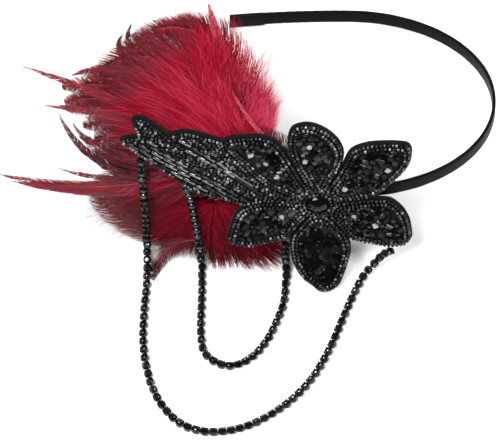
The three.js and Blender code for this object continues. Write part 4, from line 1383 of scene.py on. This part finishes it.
# Edge of the plume seen from the front: degrees round its centre, and reach
UPPER_EDGE = [
    (40, 16), (60, 24), (64, 34), (73, 47), (79, 55), (88, 61), (94, 69), (98, 73), (101, 75),
    (103.5, 80), (105.5, 97), (110, 101), (118, 101), (127, 95), (135, 95), (143, 91), (153, 97),
    (158, 93), (165, 84), (170, 77), (176, 70), (184, 66), (191, 71), (199, 80), (210, 81),
    (221, 80), (236, 72),
]
LOWER_EDGE = [
    (190, 42), (212, 48), (225, 50), (239, 50), (248, 48), (258, 47), (271, 53), (288, 56),
    (301, 62), (312, 62), (325, 52), (345, 40), (360, 34),
]
# A parting in the upper coats, where a quill shows
PARTING = np.array([(-44.2, 61.6), (-36.2, 46.2)])


def clear_of_parting(points):
    """True where a point keeps off the parting."""
    run = PARTING[1] - PARTING[0]
    share = np.clip((points - PARTING[0]) @ run / (run @ run), 0, 1)
    nearest = PARTING[0] + share[:, None] * run
    room = 0.5 + 1.3 * np.sin(math.pi * np.clip(share, 0.05, 0.95))
    return np.linalg.norm(points - nearest, axis=1) > room


def streaks(angle, reach, rng, fine=70):
    """Smooth noise in narrow streaks that run outwards, as strands that cling together do."""
    waves = 5
    total = np.zeros(len(angle))
    for _ in range(waves):
        drift = np.sin(reach * rng.uniform(0.03, 0.09) + rng.uniform(0, 6))
        total += np.sin(angle * rng.uniform(0.25 * fine, fine) + drift * 1.5 + rng.uniform(0, 6))
    return total / waves**0.5


# A coat of loose strands that flows outwards: its centre and edge, the span of degrees, how many
# strands, the span of shares of the edge where they end, their lengths, depths at the centre and
# the edge, how far the flow turns on its way out, half-width of a strand, how far the tips fray,
# the tones at a strand's foot and tip by its degrees and share, how wavy a strand is, and the share
# of the edge that the coat leaves bare on the left
Coat = namedtuple("Coat", "centre edge degrees count shares lengths depths turn width fray tones "
                          "wave bare", defaults=[0.05, 0.0])
# Where the strands of a coat begin and end in the side frame's plane
Flow = namedtuple("Flow", "angle degrees share reach foot_share foot tip")


def coat_flow(coat, rng):
    """The flow of a coat's strands."""
    count = coat.count
    angle = np.radians(rng.uniform(*coat.degrees, count))
    share = coat.shares[0] + (coat.shares[1] - coat.shares[0]) * rng.random(count) ** 0.62
    turn = math.radians(coat.turn)
    end_angle = angle + turn * share**1.5
    degrees = np.degrees(end_angle)
    limit = np.interp(degrees, *zip(*coat.edge))
    reach = limit * share * (1 - coat.bare * ramp(degrees, 104, 116))
    clump = streaks(angle, reach, rng)
    tip_reach = reach * (1 + coat.fray * (0.6 * clump + rng.normal(0, 1, count)))
    foot_reach = np.maximum(tip_reach - rng.uniform(*coat.lengths, count), 1 + 4 * rng.random(count))
    foot_share = foot_reach / np.maximum(limit, 1)
    gather = 0.022 * streaks(angle, reach, rng, 50)
    foot = polar(coat.centre, angle + turn * foot_share**1.5, foot_reach)
    tip = polar(coat.centre, end_angle + gather + rng.normal(0, 0.035, count), tip_reach)
    return Flow(angle, degrees, share, reach, foot_share, foot, tip)


def coat_strands(coat, rng):
    """The strands of a coat, bent a little, with streaks of painted highlight and shade and a random
    tone each.
    """
    count = coat.count
    flow = coat_flow(coat, rng)
    # Painted highlight and shade: light and dark streaks as between locks that cling together; then a
    # random tone for each strand
    shade = sum(0.09 * streaks(flow.angle, flow.reach, rng, fine) for fine in (60, 240))
    shade = shade + rng.normal(0, 0.11, count)
    near, far = coat.depths
    foot_depth = near + (far - near) * flow.foot_share + rng.normal(0, 0.7, count)
    tip_depth = near + (far - near) * flow.share + rng.normal(0, 0.9, count)
    base = np.column_stack([flow.foot, foot_depth])
    run = np.column_stack([flow.tip, tip_depth]) - base
    stops = (base[:, :2] + run[:, :2] * at for at in (0, 0.25, 0.5, 0.75, 1))
    run[~np.all([clear_of_parting(stop) for stop in stops], axis=0)] *= 0.05
    length = np.linalg.norm(run, axis=1)
    chord = run / length[:, None]
    curl = beside(chord) * np.sign(coat.turn) * rng.normal(0.05, 0.14, count)[:, None]
    heading, turned = unit(chord - curl + BARB_LIFT), unit(chord + curl - BARB_LIFT)
    foot_tone, tip_tone = coat.tones(flow.degrees, flow.share)
    width = coat.width * rng.uniform(0.7, 1.3, count)
    return strands(base, heading, turned, length, width, 3, rng, foot_tone + shade, tip_tone + shade,
                   coat.wave, 0.6)


def ramp(values, low, high):
    """0 up to low, 1 from high, smooth between."""
    t = np.clip((values - low) / (high - low), 0, 1)
    return t * t * (3 - 2 * t)


def even_tones(foot, tip):
    """Tones that are the same all over a coat."""
    return lambda degrees, share: (foot, tip)


def hackle_tones(degrees, share):
    """Wine, duller to the left and outwards."""
    outer = ramp(share, 0.5, 1.0)
    left = ramp(degrees, 105, 180)
    foot = 0.66 - 0.12 * outer - 0.14 * left
    return foot, foot - 0.14 * outer - 0.04


def crimson_tones(degrees, share):
    """Crimson, pink at the right edge, darker at the left, with painted shade near the roots at the
    right.
    """
    pink = 0.75 * ramp(-degrees, -110, -84) * ramp(share, 0.5, 0.95)
    # Painted shade: darker near the roots at the right
    root = 0.20 * ramp(-share, -0.5, -0.15) * ramp(-degrees, -125, -95)
    rim = 0.11 * ramp(share, 0.6, 0.95) * ramp(degrees, 95, 110)
    foot = 0.44 + 0.20 * pink - (0.14 * ramp(degrees, 128, 190) + rim + root)
    return foot, foot + 0.06 + 0.34 * pink


def lower_tones(degrees, share):
    """Dark red, a little brighter in the middle."""
    bright = 0.12 * ramp(-abs(degrees - 232), -28, -6) * ramp(-share, -0.8, -0.4)
    foot = 0.08 + 0.03 * ramp(share, 0.6, 1.0) + bright
    return foot, foot + 0.05


def upper(*values, **named):
    """A coat of the fan above the ribbon."""
    return Coat(QUILL_HEAD, UPPER_EDGE, *values, **named)


def lower(*values):
    """A coat of the fluff below it."""
    return Coat(FLUFF_TAIL, LOWER_EDGE, *values)


DULL_TIPS = even_tones(0.3, 0.5)
# Pale pink hairs, partly a painted highlight for the light streaks on the fluff
PALE_HAIRS_PAINTED_HIGHLIGHT = even_tones(0.8, 1.0)
WINE_COATS = [
    upper((90, 214), 5400, (0.5, 1.0), (22, 40), (-7.5, -8.5), 13, 0.15, 0.010, hackle_tones, 0.02),
]
SLIM_COATS = [
    upper((188, 214), 260, (0.95, 1.22), (12, 26), (-8, -8), 6, 0.04, 0.05, DULL_TIPS, 0.1),
]
CRIMSON_COATS = [
    upper((84, 192), count, shares, (17, 32), depths, 13, 0.14, 0.045, crimson_tones, bare=0.12)
    for count, shares, depths in ((4200, (0.55, 0.96), (-6.5, -6.5)),
                                  (4000, (0.35, 0.80), (-4.5, -5.0)),
                                  (3400, (0.12, 0.60), (-2.2, -3.5)))
] + [
    # Pale hairs over the upper coats, partly painted highlight
    upper((104, 196), 260, (0.4, 0.97), (12, 30), (-2, -5), 13, 0.055, 0.03, PALE_HAIRS_PAINTED_HIGHLIGHT, 0.1),
]
# Two coats of the brushed lobe at the right, then loose hairs beyond its edge
PINK_COATS = [
    upper((71, 116), count, shares, (12, 22), depths, -11, 0.12, 0.06, crimson_tones, 0.16)
    for count, shares, depths in ((3700, (0.45, 1.0), (-5.5, -6.0)), (3000, (0.15, 0.85), (-3.2, -4.0)))
] + [
    upper(degrees, count, shares, (20, 36), (-5, -5), -7, 0.08, 0.04, DULL_TIPS, 0.08)
    for degrees, count, shares in (((77, 112), 480, (0.85, 1.25)), ((94, 112), 150, (1.0, 1.19)),
                                   ((90, 106), 150, (1.15, 1.46)))
]
LOWER_COATS = [
    lower((188, 358), 4700, (0.55, 1.0), (16, 28), (-9, -8), 6, 0.15, 0.02, lower_tones),
    lower((188, 358), 3400, (0.2, 0.75), (16, 28), (-5, -4), 6, 0.15, 0.02, lower_tones),
]
WIDE_FEATHERS = [hackle(row) for row in HACKLES]
SLIM_FEATHERS = [hackle(row) for row in SLIM_HACKLES] + [bowed(row) for row in BOWED_FEATHERS]
# Pieces of the plume in the order of their draws: name, feathers, coats, slot and CAD nodes
PLUME = [
    ("wine_hackles", WIDE_FEATHERS, WINE_COATS, "wine_feather", ["hackle_plume"]),
    ("slim_hackles", SLIM_FEATHERS, SLIM_COATS, "wine_feather", []),
    ("crimson_fluff", [], CRIMSON_COATS, "crimson_fluff", ["marabou_fluff"]),
    ("pink_fluff", [], PINK_COATS, "crimson_fluff", []),
    ("lower_fluff", [], LOWER_COATS, "crimson_fluff", []),
]


TABLE_LAY = 1.0         # height of the strands that lie on the table
LAY_RISE = 0.97         # how far a sunk strand is raised, as a share
LAY_SLOPE = 0.466       # and how far it comes forward for each mm
LOWEST_STRAND = 0.2
BEHIND_FELT = -0.3      # in the side frame
MAP_LOW = np.array([-110.0, -80.0])
MAP_HIGH = 60
FELT_SPARE = 2.5        # how far past the felt's beads the map reaches


def settle(parts, beadwork):
    """The parts in the shared frame, with what would sink into the table laid on it."""
    settled = []
    for p in parts:
        side = p.points.copy()
        hidden = beadwork.covers(side)
        side[:, 2] = np.where(hidden, np.minimum(side[:, 2], BEHIND_FELT), side[:, 2])
        points = to_world(side)
        sunk = np.maximum(TABLE_LAY - points[:, 2], 0)
        points[:, 2] += sunk * LAY_RISE
        points[:, 1] -= sunk * LAY_SLOPE
        points[:, 2] = np.maximum(points[:, 2], LOWEST_STRAND)
        settled.append(p._replace(points=points))
    return settled


class Beadwork:
    """A map of where the felt covers the side frame's plane, so that strands stay behind it."""

    def __init__(self, outlines):
        xs, ys = (np.arange(low, MAP_HIGH, 1.0) for low in MAP_LOW)
        grid = np.stack(np.meshgrid(xs, ys, indexing="ij"), -1).reshape(-1, 2)
        covered = np.zeros(len(grid), bool)
        for outline in outlines.values():
            covered |= inside(grid, grown(outline, FELT_SPARE))
        self.covered = covered.reshape(len(xs), len(ys))

    def covers(self, points):
        """True for points in front of or behind the felt."""
        cells = np.round(points[:, :2] - MAP_LOW).astype(int)
        limits = np.array(self.covered.shape) - 1
        within = ((cells >= 0) & (cells <= limits)).all(1)
        cells = np.clip(cells, 0, limits)
        return within & self.covered[cells[:, 0], cells[:, 1]]


def make_plume(beadwork):
    """The feather pieces, all from one seed."""
    rng = np.random.default_rng(23)
    for name, feathers, coats, slot, nodes in PLUME:
        parts = [p for feather in feathers for p in vane(feather, rng)]
        parts += [coat_strands(coat, rng) for coat in coats]
        looks = [LOOKS["hackle"], LOOKS["quill"]] if feathers else [LOOKS["fluff"]]
        build_piece(name, settle(parts, beadwork), looks, nodes)


# Stage

PHOTO_SIZE = (500, 440)
FLOWER_AXIS_AT = (322, 188)     # pixel of the point over the table under the flower's middle
PIXELS_PER_MM = 2.05
CAMERA_DISTANCE = 2000.0
CAMERA_ELEVATION = math.radians(65)
AIM = np.array([0.0, 2.66, -0.93])   # that point, from the side frame's origin


def make_camera():
    """The camera that stands where the photograph was taken."""
    cos, sin = math.cos(CAMERA_ELEVATION), math.sin(CAMERA_ELEVATION)
    forward, up, right = np.array([0, cos, -sin]), np.array([0, sin, cos]), np.array([1.0, 0, 0])
    across = (PHOTO_SIZE[0] / 2 - FLOWER_AXIS_AT[0]) / PIXELS_PER_MM
    above = (FLOWER_AXIS_AT[1] - PHOTO_SIZE[1] / 2) / PIXELS_PER_MM
    place = SIDE_ORIGIN + AIM - forward * CAMERA_DISTANCE + right * across + up * above
    data = bpy.data.cameras.new("photo_camera")
    data.sensor_width = 36.0
    data.lens = PIXELS_PER_MM * CAMERA_DISTANCE * data.sensor_width / PHOTO_SIZE[0]
    data.clip_end = 20.0
    camera = bpy.data.objects.new("photo_camera", data)
    camera.location = Vector(place * MM)
    camera.rotation_mode = "QUATERNION"
    camera.rotation_quaternion = Vector(forward).to_track_quat("-Z", "Y")
    bpy.context.scene.collection.objects.link(camera)
    bpy.context.scene.camera = camera


def make_light(name, place, aim, size, watts):
    """A square soft light. Places are in metres."""
    data = bpy.data.lights.new(name, "AREA")
    data.size = size
    data.energy = watts
    lamp = bpy.data.objects.new(name, data)
    lamp.location = place
    lamp.rotation_mode = "QUATERNION"
    lamp.rotation_quaternion = (Vector(aim) - Vector(place)).to_track_quat("-Z", "Y")
    bpy.context.scene.collection.objects.link(lamp)


def make_floor():
    """A plain pale floor under the headband."""
    mesh = bpy.data.meshes.new("pale_floor")
    reach = 6.0
    corners = [(-reach, -reach, 0), (reach, -reach, 0), (reach, reach, 0), (-reach, reach, 0)]
    mesh.from_pydata(corners, [], [(0, 1, 2, 3)])
    look = bpy.data.materials.new("pale_paper")
    look.use_nodes = True
    shader = look.node_tree.nodes["Principled BSDF"]
    shader.inputs["Base Color"].default_value = (0.93, 0.93, 0.93, 1)
    shader.inputs["Roughness"].default_value = 0.85
    mesh.materials.append(look)
    floor = bpy.data.objects.new("pale_floor", mesh)
    bpy.context.scene.collection.objects.link(floor)


def make_room():
    """An even pale room and three soft studio lights."""
    world = bpy.data.worlds.new("soft_room")
    world.use_nodes = True
    world.node_tree.nodes["Background"].inputs["Color"].default_value = (1, 1, 1, 1)
    world.node_tree.nodes["Background"].inputs["Strength"].default_value = 0.18
    bpy.context.scene.world = world
    bpy.context.scene.view_settings.view_transform = "Standard"
    make_light("key_softbox", (-0.40, -0.30, 1.20), (0, 0, 0.05), 0.55, 24.0)
    make_light("fill_softbox", (0.80, -0.20, 0.95), (0, 0, 0.05), 0.35, 10.0)
    make_light("back_strip", (0.15, 0.95, 0.85), (0, 0, 0.05), 0.3, 3.2)


def main():
    """Builds the stage, then the headband's pieces from the band to the feathers."""
    make_camera()
    make_floor()
    make_room()
    outlines = {name: smooth_outline(foot_outline(name)) for name in (*PETALS, "leaf_spray")}
    make_band()
    make_felt(outlines)
    rng = np.random.default_rng(7)
    templates = [chip_template(rng) for _ in range(8)]
    laid = []
    for name in PETALS:
        make_petal(name, outlines[name], rng, templates, laid)
    make_leaf(outlines["leaf_spray"], rng, laid)
    make_centre(outlines, rng, laid)
    make_chain("outer_cup_chain", "outer_chain", leaf_point(0.765, 0.06), OUTER_ROUTE,
               petal_point(335, 46.5, -14), rng)
    make_chain("inner_cup_chain", "inner_chain", leaf_point(0.395, 0.185), INNER_ROUTE,
               petal_point(209, 27, 17), rng)
    make_plume(Beadwork(outlines))


main()
